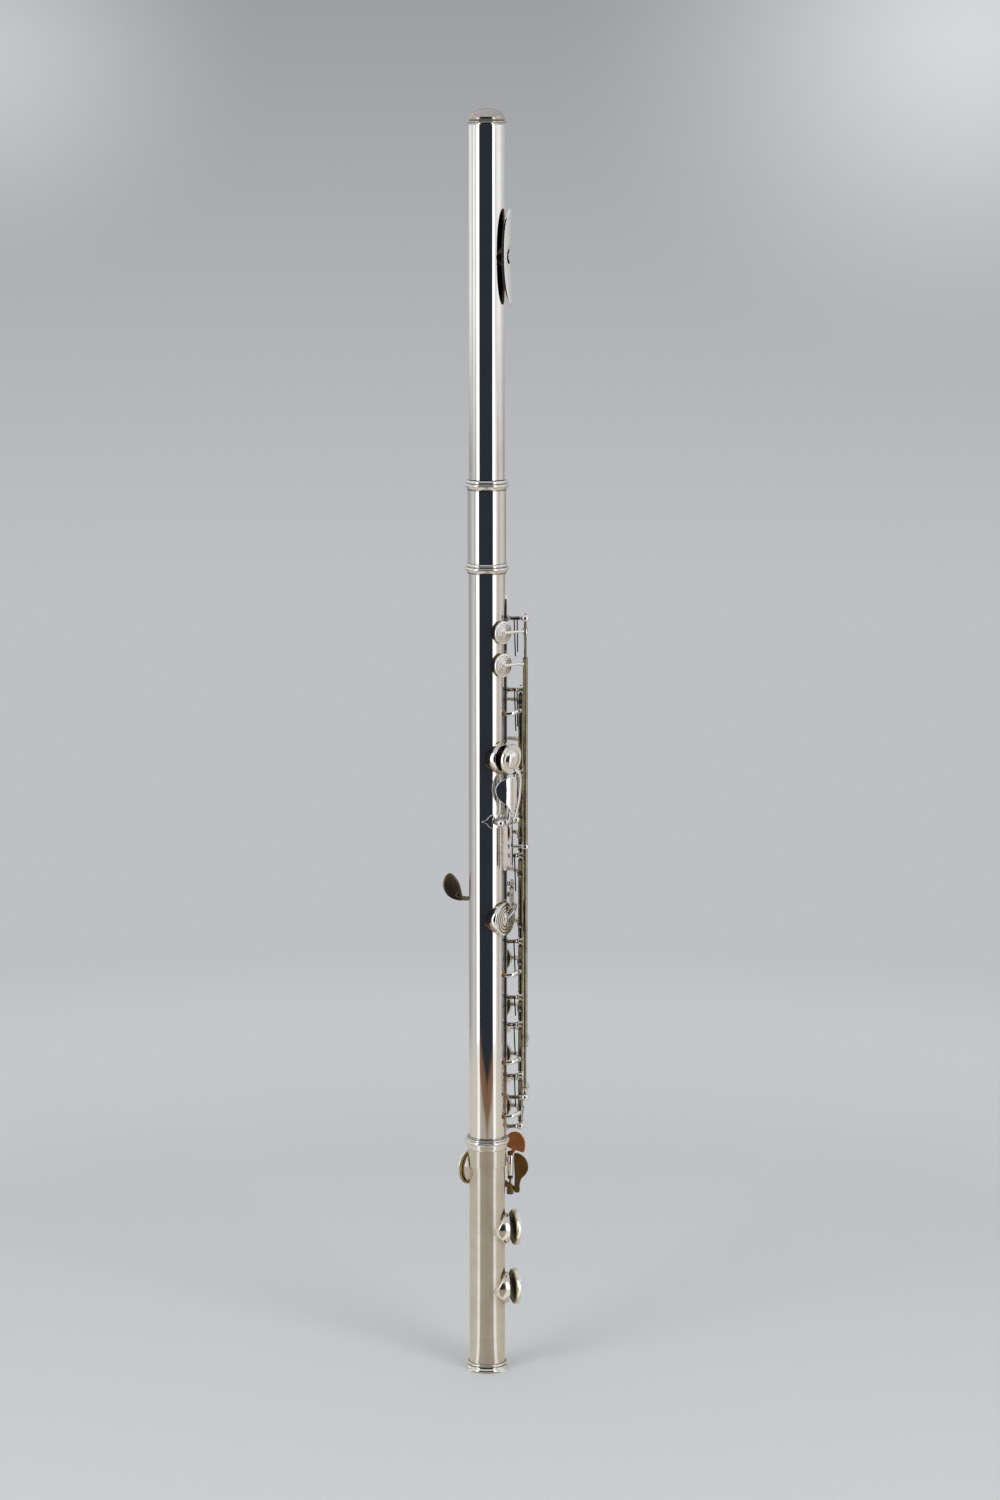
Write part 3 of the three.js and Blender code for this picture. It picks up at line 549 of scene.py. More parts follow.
def ramp(tree: bpy.types.NodeTree, value: bpy.types.NodeSocket, low: float, high: float,
         start: float = 0.0, end: float = 1.0) -> bpy.types.NodeSocket:
    """Spreads a value from one range to another, clamped."""
    settings = {"clamp": True}
    node = add_node(tree, "ShaderNodeMapRange", settings, i0=value, i1=low, i2=high, i3=start, i4=end)
    return node.outputs["Result"]


@dataclass(frozen=True)
class PlatedMetal:
    """Silver plate over nickel silver, handled and lightly tarnished.

    The eye reads it by mirror-like bands with soft smears where fingers wiped it, a warm film
    that gathers in corners, and hairline scratches along the tube.
    """

    name: str
    silver: str
    tarnish: str
    roughness: float
    dull: float
    film: float
    smear_mm: float = 14.0
    scratch_mm: float = 0.35
    ripple_mm: float = 26.0
    ripple_depth_mm: float = 0.0

    def build(self) -> bpy.types.Material:
        """Makes the material."""
        material, tree = new_material(self.name)
        place = add_node(tree, "ShaderNodeTexCoord").outputs["Object"]
        smear_scale = 1 / (self.smear_mm * MM)
        smear = add_node(tree, "ShaderNodeTexNoise", Vector=place, Scale=smear_scale, Detail=5.0,
                         Roughness=0.62)
        film = ramp(tree, smear.outputs["Fac"], 0.42, 0.78, 0.0, self.film)
        stain = add_node(tree, "ShaderNodeAttribute", {"attribute_name": "stain"}).outputs["Fac"]
        speck = add_node(tree, "ShaderNodeTexNoise", Vector=place, Scale=1 / (1.6 * MM), Detail=3.0)
        broken = add_node(
            tree, "ShaderNodeMath", {"operation": "MULTIPLY"}, i0=stain,
            i1=ramp(tree, speck.outputs["Fac"], 0.25, 0.6, 0.55, 1.15))
        dirt = add_node(tree, "ShaderNodeMath", {"operation": "ADD", "use_clamp": True},
                        i0=film, i1=broken.outputs[0]).outputs[0]
        colour = add_node(tree, "ShaderNodeMix", {"data_type": "RGBA"}, i0=dirt,
                          i6=linear(self.silver), i7=linear(self.tarnish)).outputs[2]
        along = add_node(tree, "ShaderNodeMapping", Vector=place, Scale=(1.0, 1.0, 0.04))
        hair = add_node(tree, "ShaderNodeTexNoise", Vector=along.outputs[0],
                        Scale=1 / (self.scratch_mm * MM), Detail=2.0)
        haze = ramp(tree, hair.outputs["Fac"], 0.3, 0.75, self.roughness * 0.75, self.roughness * 1.35)
        dulled = add_node(tree, "ShaderNodeMath", {"operation": "MULTIPLY_ADD"}, i0=dirt,
                          i1=self.dull, i2=haze).outputs[0]
        scratched = add_node(tree, "ShaderNodeBump", Height=hair.outputs["Fac"], Strength=0.02,
                             Distance=0.02 * MM)
        ripple = add_node(tree, "ShaderNodeTexNoise", Vector=place, Scale=1 / (self.ripple_mm * MM),
                          Detail=0.0)
        rippled = add_node(tree, "ShaderNodeBump", Height=ripple.outputs["Fac"], Strength=1.0,
                           Distance=self.ripple_depth_mm * MM, Normal=scratched.outputs[0])
        shader = add_node(tree, "ShaderNodeBsdfPrincipled", Base_Color=colour, Metallic=1.0,
                          Roughness=dulled, Normal=rippled.outputs[0])
        add_node(tree, "ShaderNodeOutputMaterial", Surface=shader.outputs[0])
        return material


@dataclass(frozen=True)
class SoftSkin:
    """Fish skin over felt, cork and other dull organic surfaces, mottled and finely grained."""

    name: str
    colour: str
    shade: str
    roughness: float
    grain_mm: float
    depth_mm: float

    def build(self) -> bpy.types.Material:
        """Makes the material."""
        material, tree = new_material(self.name)
        place = add_node(tree, "ShaderNodeTexCoord").outputs["Object"]
        grain = add_node(tree, "ShaderNodeTexNoise", Vector=place, Scale=1 / (self.grain_mm * MM), Detail=4.0)
        patch = ramp(tree, grain.outputs["Fac"], 0.35, 0.7)
        stain = add_node(tree, "ShaderNodeAttribute", {"attribute_name": "stain"}).outputs["Fac"]
        dark = add_node(tree, "ShaderNodeMath", {"operation": "MAXIMUM"}, i0=patch, i1=stain).outputs[0]
        colour = add_node(tree, "ShaderNodeMix", {"data_type": "RGBA"}, i0=dark,
                          i6=linear(self.colour), i7=linear(self.shade)).outputs[2]
        bump = add_node(tree, "ShaderNodeBump", Height=grain.outputs["Fac"], Strength=0.5,
                        Distance=self.depth_mm * MM)
        shader = add_node(tree, "ShaderNodeBsdfPrincipled", Base_Color=colour, Normal=bump.outputs[0],
                          Roughness=self.roughness)
        add_node(tree, "ShaderNodeOutputMaterial", Surface=shader.outputs[0])
        return material


class Finish(Enum):
    """The flute's finishes."""

    # Head, barrel and body: bright plate, rubbed by hands, with a thin warm film.
    TUBE = PlatedMetal("bright_silver_plate", "#F3F2EF", "#A88A66", 0.04, 0.16, 0.1, ripple_mm=14.0,
                       ripple_depth_mm=0.03)
    # Rings and keys: the same plate on cast and filed pieces, browner in their corners.
    KEY = PlatedMetal("key_silver_plate", "#F2F1EE", "#5C4229", 0.05, 0.22, 0.1, smear_mm=5.0)
    # Foot: plate gone warm and softly dull all over.
    FOOT = PlatedMetal("satin_silver_plate", "#E2DDD3", "#B3A68C", 0.1, 0.1, 0.4, smear_mm=18.0)
    # Crown: thin plate with a grey-green film.
    CROWN = PlatedMetal("filmed_silver_plate", "#CBC7C0", "#86786A", 0.12, 0.2, 0.5, smear_mm=3.5)
    # Hinge rods: ground nickel silver with an olive tint of dried oil.
    ROD = PlatedMetal("oiled_nickel_silver", "#A8A288", "#3E3824", 0.12, 0.2, 0.6, smear_mm=7.0)
    # Backs of touches: bare metal oxidised to copper, brass brown and dark brown.
    COPPER = PlatedMetal("oxidised_copper_back", "#D08A58", "#7A4426", 0.34, 0.2, 0.5, smear_mm=4.0)
    BRONZE = PlatedMetal("oxidised_brass_back", "#86683F", "#4A3822", 0.4, 0.2, 0.6, smear_mm=4.0)
    UMBER = PlatedMetal("oxidised_dark_back", "#8C8274", "#5C4636", 0.3, 0.2, 0.6, smear_mm=5.0)
    # Under side of the lip plate and the riser: plate painted dark brown, painted shade for the deep gap
    # between plate and tube.
    SHADED = PlatedMetal("browned_plate_underside", "#54463A", "#2C221B", 0.2, 0.15, 0.5, smear_mm=8.0)
    # Needle springs: hardened steel, heat blued.
    BLUED = PlatedMetal("blued_spring_steel", "#2A303C", "#14171E", 0.22, 0.1, 0.4, smear_mm=6.0)
    # Pad rims: beaten fish skin over felt, gone golden.
    SKIN = SoftSkin("golden_pad_skin", "#D9B567", "#A97C38", 0.5, 1.4, 0.05)
    # Pad rims on main keys whose holes face azimuth 180 or less: the same skin painted dark brown, painted
    # shade where these rims sit in shadow.
    AGED = SoftSkin("brown_pad_skin", "#6A4E2A", "#3A2A18", 0.5, 1.4, 0.05)
    # Pad faces: the same skin, nearly black.
    FACE = SoftSkin("dark_pad_face", "#2A2019", "#120D0A", 0.45, 1.4, 0.04)
    # Bumpers and stopper: natural cork.
    CORK = SoftSkin("natural_cork", "#A9744A", "#6E4424", 0.9, 0.9, 0.15)

    def material(self) -> bpy.types.Material:
        """The finish's material, made once."""
        return bpy.data.materials.get(self.value.name) or self.value.build()


def deliver(
    thing: bpy.types.Object, body: str, finishes: Sequence[Finish], nodes: Sequence[str] = (),
) -> bpy.types.Object:
    """Dresses a finished piece and gives it to its body.

    Args:
        thing: the piece's object.
        body: the CAD body it rides on.
        finishes: its materials in slot order.
        nodes: the CAD nodes it stands for.

    Returns:
        The piece.
    """
    if not thing.data.materials:
        for finish in finishes:
            thing.data.materials.append(finish.material())
    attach(thing, body)
    if nodes:
        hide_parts(*nodes)
    LOG.info("%s rides on %s, %d faces", thing.name, body, len(thing.data.polygons))
    return thing


def piece(
    shape: Shape, name: str, body: str, finishes: Sequence[Finish], nodes: Sequence[str] = (),
    sharp: float = 38.0,
) -> bpy.types.Object:
    """Makes and delivers a piece from a shape."""
    return deliver(object_of(shape.mesh(name, sharp)), body, finishes, nodes)


# ------------------------------------------------------------------- geometry node trees


def new_tree(name: str, inputs: Sequence[tuple[str, str]]) -> bpy.types.GeometryNodeTree:
    """A geometry node tree with named inputs.

    Args:
        name: the tree's name.
        inputs: name and socket type of each input after the geometry.

    Returns:
        The tree, with its group input and output nodes.
    """
    tree = bpy.data.node_groups.new(name, "GeometryNodeTree")
    tree.interface.new_socket("Geometry", in_out="INPUT", socket_type="NodeSocketGeometry")
    for label, kind in inputs:
        tree.interface.new_socket(label, in_out="INPUT", socket_type=kind)
    tree.interface.new_socket("Geometry", in_out="OUTPUT", socket_type="NodeSocketGeometry")
    return tree


def grow(points: bpy.types.Object, tree: bpy.types.GeometryNodeTree, **values) -> bpy.types.Object:
    """Runs a tree on an object and keeps the result as a plain mesh.

    Args:
        points: the object whose mesh feeds the tree.
        tree: the geometry node tree.
        **values: the tree's inputs by name, with underscores for spaces.

    Returns:
        The same object with its grown mesh.
    """
    modifier = points.modifiers.new(tree.name, "NODES")
    modifier.node_group = tree
    for item in tree.interface.items_tree:
        key = item.name.replace(" ", "_")
        if item.in_out == "INPUT" and key in values:
            modifier[item.identifier] = values[key]
    return settle(points)


class RowTree:
    """Copies of one object at the points of a mesh, all turned the same way."""

    def __init__(self) -> None:
        """Builds the tree."""
        self.tree = new_tree("row_of_copies", [
            ("Copy", "NodeSocketObject"), ("Turn", "NodeSocketVector"), ("Finish", "NodeSocketMaterial")])
        tree = self.tree
        given = add_node(tree, "NodeGroupInput").outputs
        source = add_node(tree, "GeometryNodeObjectInfo", Object=given["Copy"])
        placed = add_node(tree, "GeometryNodeInstanceOnPoints", Points=given["Geometry"],
                          Instance=source.outputs["Geometry"], Rotation=given["Turn"])
        real = add_node(tree, "GeometryNodeRealizeInstances", i0=placed.outputs[0])
        dressed = add_node(tree, "GeometryNodeSetMaterial", i0=real.outputs[0], Material=given["Finish"])
        add_node(tree, "NodeGroupOutput", Geometry=dressed.outputs[0])

    def row(self, name: str, copy: Shape, places: Sequence[Vector], azimuth: float,
            finish: Finish) -> bpy.types.Object:
        """Copies a shape to each place.

        Args:
            name: the new object's name.
            copy: the shape to repeat, drawn round the bore's foot with its front at azimuth 0.
            places: where its origin goes.
            azimuth: where its front faces, in degrees.
            finish: its material.

        Returns:
            One object that holds all the copies.
        """
        source = object_of(copy.moved(Matrix.Translation(-BENCH.axis)).mesh(f"{name}_source"))
        spots = bpy.data.meshes.new(name)
        spots.from_pydata([BENCH.to_frame(place) for place in places], [], [])
        turn = (0.0, 0.0, math.radians(azimuth))
        result = grow(object_of(spots), self.tree, Copy=source, Turn=turn, Finish=finish.material())
        bpy.data.objects.remove(source)
        result.data.set_sharp_from_angle(angle=math.radians(38))
        return result


class WireTree:
    """Round wires along the edges of a mesh."""

    def __init__(self) -> None:
        """Builds the tree."""
        self.tree = new_tree("needle_wires", [
            ("Wire Radius", "NodeSocketFloat"), ("Sides", "NodeSocketInt"), ("Finish", "NodeSocketMaterial")])
        tree = self.tree
        given = add_node(tree, "NodeGroupInput").outputs
        lines = add_node(tree, "GeometryNodeMeshToCurve", i0=given["Geometry"])
        ring = add_node(tree, "GeometryNodeCurvePrimitiveCircle", Resolution=given["Sides"],
                        Radius=given["Wire Radius"])
        wires = add_node(tree, "GeometryNodeCurveToMesh", Curve=lines.outputs[0],
                         Profile_Curve=ring.outputs[0])
        wires.inputs["Fill Caps"].default_value = True
        real = add_node(tree, "GeometryNodeRealizeInstances", i0=wires.outputs[0])
        dressed = add_node(tree, "GeometryNodeSetMaterial", i0=real.outputs[0], Material=given["Finish"])
        add_node(tree, "NodeGroupOutput", Geometry=dressed.outputs[0])

    def wires(self, name: str, ends: Sequence[tuple[Vector, Vector]], radius: float,
              finish: Finish) -> bpy.types.Object:
        """One object with a straight wire between each pair of ends."""
        points = [BENCH.to_frame(point) for pair in ends for point in pair]
        lines = bpy.data.meshes.new(name)
        lines.from_pydata(points, [(i, i + 1) for i in range(0, len(points), 2)], [])
        return grow(object_of(lines), self.tree, Wire_Radius=radius * MM, Sides=10,
                    Finish=finish.material())


# ---------------------------------------------------------------------- shared key parts


class CupStyle(Enum):
    """How the outside of a key cup is worked."""

    PLAIN = "a low dome with a turned step"
    RINGED = "engraved rings round a small boss"
    RIMMED = "a raised rim round a dome"


@dataclass(frozen=True)
class ToneHole:
    """A tone hole with its chimney, cup and pad."""

    height: float
    azimuth: float
    radius: float
    rim: float
    cup: float
    pad: float
    style: CupStyle = CupStyle.PLAIN
    gap: float = 0.15

    @property
    def place(self) -> Matrix:
        """Axes on the bore's axis facing out through the hole."""
        return spot(self.azimuth, self.height)

    @property
    def seat(self) -> float:
        """Where the pad's back lies in the cup."""
        return self.rim + 2 * self.gap + self.pad

    @property
    def top(self) -> float:
        """The crown of the closed cup."""
        return self.seat + 1.1

    def add_cup(self, shape: Shape) -> None:
        """Draws the cup's shell, pad down."""
        edge, seat, top, wide = self.rim + 0.55, self.seat, self.top, self.cup
        inside = wide - 0.5
        shoulder = top - 0.75
        lines: list[int] = []
        profile: Profile = [(0, seat), (inside, seat), (inside, edge + 0.08), (inside + 0.12, edge)]
        profile += [(wide - 0.12, edge), (wide, edge + 0.12), (wide, shoulder - 0.25)]
        profile += [(wide - 0.1, shoulder - 0.06), (wide - 0.3, shoulder)]
        if self.style is CupStyle.RIMMED:
            step = wide * 0.66
            profile += [(wide - 1.1, shoulder - 0.05), (step + 0.25, shoulder - 0.35), (step, shoulder - 0.3)]
            base, rise, rows = shoulder - 0.3, 2.6, 13
            for k in range(1, rows):
                angle = k / rows * math.pi / 2
                profile.append((step * math.cos(angle), base + rise * math.sin(angle)))
            profile.append((0, base + rise))
        elif self.style is CupStyle.RINGED:
            fall = (top - 0.35 - shoulder) / wide
            for radius in (0.8, 0.62, 0.44):
                lip = shoulder + fall * wide * (1 - radius)
                for step, drop in ((0.026, 0.0), (0.018, -0.04), (-0.018, -0.04), (-0.026, 0.0)):
                    lines += [len(profile)] if drop else []
                    profile.append((wide * (radius + step), lip + drop))
            profile += [(wide * 0.28, top - 0.45), (wide * 0.26, top - 0.2)]
            profile += [(wide * 0.2, top - 0.05), (0, top)]
        else:
            profile += [(wide * 0.86, shoulder + 0.03), (wide * 0.84, shoulder + 0.16)]
            profile += arc((wide * 0.84, shoulder + 0.16), (0.5, top), 0.12, 8)[1:] + [(0, top)]
        stains = [1.0 if i in lines else 0.15 if i in (4, 5) else 0.0 for i in range(len(profile))]
        shape.turned(profile, self.place, 56, stains=stains)

    def pad_shape(self) -> Shape:
        """The pad: a golden rim and a darker face with the print of the hole's edge."""
        low, high, wide = self.rim + self.gap, self.seat - self.gap, self.cup - 0.7
        profile: Profile = [(0, low + 0.25), (self.radius - 0.3, low + 0.22), (self.radius + 0.2, low + 0.3)]
        profile += [(self.radius + 0.7, low + 0.06), (wide - 0.5, low), (wide - 0.12, low + 0.18)]
        profile += [(wide, low + 0.5), (wide, high - 0.1), (wide - 0.1, high), (0, high)]
        finishes = [1, 1, 1] + [0] * 6
        return Shape().turned(profile, self.place, 48, finishes=finishes)

    def wrap_arm(self, shape: Shape, line: HingeLine, width: float = 1.25) -> None:
        """Draws an arm that bends round the tube from a hinge line and ends in a point."""
        across, out = line.seen_from(self.azimuth)
        side, reach = math.copysign(1, across), abs(across)
        path = [(across, 0, out), (side * (reach - 1), 0, (out + self.top) / 2 + 1.6),
                (side * reach * 0.66, 0, self.top + 0.4), (side * reach * 0.3, 0, self.top + 0.4),
                (0, 0, self.top + 0.28)]
        sizes = [(width * 1.5, 0.9), (width * 1.4, 0.9), (width, 0.7), (width * 0.75, 0.55), (0.32, 0.4)]
        shape.sweep([self.place @ Vector(point) for point in path], sizes, steps=30, stain=0.45)


HOLES = {
    "trill_1": ToneHole(410.3, 48, 3.8, 10.6, 6.2, 1, CupStyle.RINGED),
    "trill_2": ToneHole(392.7, 48, 3.8, 10.6, 6.4, 1, CupStyle.RINGED),
    "c_sharp": ToneHole(371.5, 165, 3.6, 11.2, 6, 1.8),
    "thumb": ToneHole(342.2, 54, 6.9, 10.9, 8.1, 1.9, CupStyle.RIMMED),
    "bb": ToneHole(319.5, 165, 6.9, 11.5, 8.5, 2.2),
    "a": ToneHole(298.5, 165, 6.9, 11.5, 8.5, 2.2),
    "g_upper": ToneHole(277.3, 190, 6.9, 11.5, 8.5, 2.2),
    "g_lower": ToneHole(249.3, 190, 6.9, 11.5, 8.5, 2.2),
    "g_sharp": ToneHole(254, 58, 7, 10.5, 9.2, 1, CupStyle.RINGED),
    "f_sharp": ToneHole(228.5, 165, 7.2, 11.5, 8.8, 2.2),
    "f": ToneHole(202.5, 165, 7.2, 11.5, 8.8, 2.2),
    "e": ToneHole(174.8, 165, 7.2, 11.5, 8.8, 2.2),
    "d": ToneHole(145.5, 165, 7.2, 11.5, 8.8, 2.2),
    "d_sharp": ToneHole(112.6, 235, 7.6, 11.3, 9.5, 1.2),
    "low_c_sharp": ToneHole(79.3, 97, 8, 11.7, 10, 2.2),
    "low_c": ToneHole(45.7, 97, 8, 11.7, 10, 2.2),
}
FOOT_HOLES = ("d_sharp", "low_c_sharp", "low_c")


def chimney_room(names: tuple[str, ...]) -> Shape:
    """Cylinders round tone holes, which cut a rib clear of their chimneys."""
    room, slack = Shape(), 1.05
    for name in names:
        radius = HOLES[name].radius + slack
        room.turned([(0, 1), (radius, 1), (radius, 14), (0, 14)], HOLES[name].place, 48)
    return room


@dataclass(frozen=True)
class Hardware:
    """Hinge tubes, rods and posts, which all keys share."""

    tube_inside: float = 1.05
    tube_outside: float = 1.36
    steel: float = 0.8
    ball: float = 2.1
    stem: float = 1.15

    def hinge_tube(self, shape: Shape, line: HingeLine, low: float, high: float, finish: int = 0) -> None:
        """A tube on a hinge line with a turned collar at each end."""
        inner, outer = self.tube_inside, self.tube_outside
        lip = outer + 0.08
        profile: Profile = [(inner, low), (outer - 0.1, low), (lip, low + 0.12), (lip, low + 0.7)]
        profile += [(outer, low + 0.85), (outer, high - 0.85), (lip, high - 0.7), (lip, high - 0.12)]
        profile += [(outer - 0.1, high), (inner, high)]
        stains = [0.8, 0.6, 0.2, 0.5, 0.04, 0.04, 0.5, 0.2, 0.6, 0.8]
        shape.turned(profile, Matrix.Translation(line.at(0)), 24, closed=True, stains=stains, finish=finish)

    def rod(self, shape: Shape, line: HingeLine, low: float, high: float, finish: int = 0) -> None:
        """A ground rod with a broken edge at each end."""
        radius = self.steel
        profile: Profile = [(0, low), (radius - 0.15, low), (radius, low + 0.15)]
        profile += [(radius, high - 0.15), (radius - 0.15, high), (0, high)]
        shape.turned(profile, Matrix.Translation(line.at(0)), 20, finish=finish)

    def post(self, base: float, line_radius: float, ball: float) -> Shape:
        """A turned post facing azimuth 0: a foot, a stem with a bead, and a ball."""
        stem = self.stem
        profile: Profile = [(0, base), (stem + 0.75, base), (stem + 0.75, base + 0.35)]
        profile += [(stem + 0.25, base + 0.75), (stem - 0.15, base + 1.4)]
        neck = line_radius - ball
        profile += [(stem - 0.2, neck - 1.0), (stem + 0.15, neck - 0.7), (stem + 0.15, neck - 0.4)]
        start, steps = math.asin((stem - 0.1) / ball), 10
        for k in range(steps + 1):
            angle = start + k / steps * (math.pi - start)
            profile.append((ball * math.sin(angle), line_radius - ball * math.cos(angle)))
        profile[-1] = (0, line_radius + ball)
        stains = [0.8, 0.6, 0.4, 0.6, 0.9, 0.9, 0.1, 0.1, 0.9] + [0.0] * (len(profile) - 9)
        return Shape().turned(profile, spot(0, 0), 24, stains=stains)

    def screw_head(self) -> Shape:
        """A slotted pivot screw head that faces up, drawn about the origin."""
        shape = Shape()
        slot = 0.11
        for side in (-1, 1):
            outline = [(slot, -0.66), (slot, 0.66), (0.42, 0.52), (0.62, 0.2), (0.62, -0.2), (0.42, -0.52)]
            rings = []
            for height, scale in ((-0.2, 1.0), (0.28, 1.0), (0.36, 0.9)):
                ring = []
                for x, y in outline:
                    ring.append(Vector((side * (slot + (x - slot) * scale), y * scale, height)))
                rings.append(ring)
            shape.loft(rings)
        return shape.turned([(0, -0.2), (0.64, -0.2), (0.64, 0.06), (0, 0.06)], Matrix.Identity(4), 20)


def add_pad(pad: Shape, tone: str, body: str, rim: Finish = Finish.SKIN) -> None:
    """Delivers the pad of a tone hole.

    Args:
        pad: the pad's shape, moved to where it rests.
        tone: the tone hole's name.
        body: the key it rides on.
        rim: the finish of its rim.
    """
    piece(pad, f"{tone}_pad_fine", body, [rim, Finish.FACE], [f"{tone}_pad"])


HARDWARE = Hardware()
ROWS = RowTree()
WIRES = WireTree()

MAIN = BENCH.line("a_key_hinge")
TRILL = BENCH.line("trill_1_hinge")
G_LINE = BENCH.line("g_sharp_hinge")
FOOT_LINE = BENCH.line("low_c_hinge")


# ------------------------------------------------------------------------- head joint


def bead(low: float, high: float, inner: float, outer: float, steps: int = 8) -> Profile:
    """A half-round bead as profile points from its low edge to its high edge."""
    result = []
    for k in range(steps + 1):
        angle = -math.pi / 2 + k / steps * math.pi
        middle, half = (low + high) / 2, (high - low) / 2
        result.append((inner + (outer - inner) * math.cos(angle), middle + half * math.sin(angle)))
    return result


@dataclass
class HeadJoint:
    """Head tube, lip plate, riser and crown."""

    outside: float = 9.5
    bore: tuple[float, float] = (9.1, 8.6)
    low: float = 491.8
    high: float = 678.5
    taper_from: float = 520.0
    lip_azimuth: float = 85.0
    lip_height: float = 609.5
    lip_half: tuple[float, float] = (8.4, 25.4)
    lip_inside: float = 11.2
    lip_flare: float = 1.05
    lip_lean: float = 0.35
    lip_bend: float = 13.4
    lip_thickness: float = 1.4
    blow_half: tuple[float, float] = (6.0, 5.0)
    body: str = "head_joint"

    def on_saddle(self, point: Vector) -> Vector:
        """Bends a flat point of the lip plate onto its saddle."""
        along = point.y / self.lip_half[1]
        out = self.lip_inside + self.lip_flare * along ** 2 - self.lip_lean * along
        out += point.z - point.x ** 2 / (2 * self.lip_bend)
        return spot(self.lip_azimuth, self.lip_height) @ Vector((point.x, point.y, out))

    def tube(self) -> None:
        """The head tube, open at the blow hole."""
        wide, (bore_low, bore_high) = self.outside, self.bore
        profile: Profile = [(bore_low, self.low), (wide - 0.1, self.low), (wide, self.low + 0.1)]
        steps = 60
        for k in range(steps + 1):
            profile.append((wide, self.low + 0.3 + (self.high - self.low - 0.6) * k / steps))
        profile += [(wide, self.high - 0.1), (wide - 0.1, self.high), (bore_high, self.high)]
        profile.append((bore_low, self.taper_from))
        shape = Shape().turned(profile, Matrix.Identity(4), 128, closed=True)
        thing = object_of(shape.mesh("head_tube_fine"))
        blow = Shape().turned([(0, 2), (1, 2), (1, 12), (0, 12)], spot(self.lip_azimuth, self.lip_height),
                              48, outline=squared(*self.blow_half))
        drilled(thing, blow)
        round_normals(thing.data, [wide])
        deliver(thing, self.body, [Finish.TUBE], ["head_tube"])

    def lip_plate(self) -> None:
        """The saddle-shaped plate with a rolled edge and the oval blow hole."""
        sides, half = 96, self.lip_thickness / 2
        rim, hole = squared(*self.lip_half, 2.9), squared(*self.blow_half)
        edge: Profile = []
        roll, steps = 0.035, 8
        for k in range(steps + 1):
            angle = -math.pi / 2 + k / steps * math.pi
            edge.append((1 - roll + roll * math.cos(angle), half + half * math.sin(angle)))
        inner = [0.9, 0.75, 0.6, 0.45, 0.3, 0.15]
        levels = [(scale, 0.0) for scale in reversed(inner)] + edge + [(scale, 2 * half) for scale in inner]
        levels += [(0.03, 2 * half - 0.02), (0.0, 2 * half - 0.16), (0.0, 0.0)]
        rings = []
        for scale, height in levels:
            ring = []
            for k in range(sides):
                angle = k / sides * math.tau
                (hx, hy), (rx, ry) = hole(angle), rim(angle)
                flat = Vector((hx + (rx - hx) * scale, hy + (ry - hy) * scale, height))
                ring.append(self.on_saddle(flat))
            rings.append(ring)
        # The under face takes the dark finish: painted shade for the gap under the plate.
        finishes = [1 if height < 0.2 else 0 for _, height in levels]
        shape = Shape().loft(rings, closed=True, finishes=finishes)
        piece(shape, "lip_plate_fine", self.body, [Finish.TUBE, Finish.SHADED], ["lip_plate"], sharp=50)

    def riser(self) -> None:
        """The chimney between the head tube and the lip plate."""
        sides = 64
        inner, outer = squared(*self.blow_half), squared(self.blow_half[0] + 1.6, self.blow_half[1] + 1.6)
        place = spot(self.lip_azimuth, self.lip_height)
        rings = []
        for outline, radius in ((inner, self.outside - 0.3), (outer, self.outside - 0.1),
                                (outer, None), (inner, None)):
            ring = []
            for k in range(sides):
                x, y = outline(k / sides * math.tau)
                if radius is None:
                    ring.append(self.on_saddle(Vector((x, y, 0.1))))
                else:
                    ring.append(place @ Vector((x, y, math.sqrt(radius ** 2 - x * x))))
            rings.append(ring)
        shape = Shape().loft(rings, closed=True, stains=[0.1, 0.5, 0.3, 0.1])
        # The riser takes the dark finish: painted shade for the gap under the plate.
        piece(shape, "embouchure_riser_fine", self.body, [Finish.SHADED], ["embouchure_riser"])

    def crown(self) -> None:
        """The crown: a thin milled flange under a stepped dome."""
        profile: Profile = [(0, 683), (1.7, 683), (1.7, 668), (7.9, 668), (8, 668.2), (8, 679.3)]
        profile += [(10.2, 679.3)] + bead(679.35, 680.4, 10.1, 10.6, 6) + [(9.6, 680.7)]
        profile += bead(680.8, 681.3, 9.5, 9.85, 4)
        start, steps = 6, 14
        for k in range(steps + 1):
            angle = math.radians(start + (90 - start) * k / steps)
            profile.append((9.62 * math.cos(angle), 681.3 + 5.7 * math.sin(angle)))
        profile[-1] = (0, 687)
        stains = [0.0] * 6 + [0.9] + [0.1] * 7 + [0.9] + [0.3] * 5 + [0.15] * (len(profile) - 20)
        shape = Shape().turned(profile, Matrix.Identity(4), 96, stains=stains)
        piece(shape, "crown_fine", "crown", [Finish.CROWN], ["crown"])

    def build(self) -> None:
        """Makes the head joint's pieces."""
        self.tube()
        self.lip_plate()
        self.riser()
        self.crown()


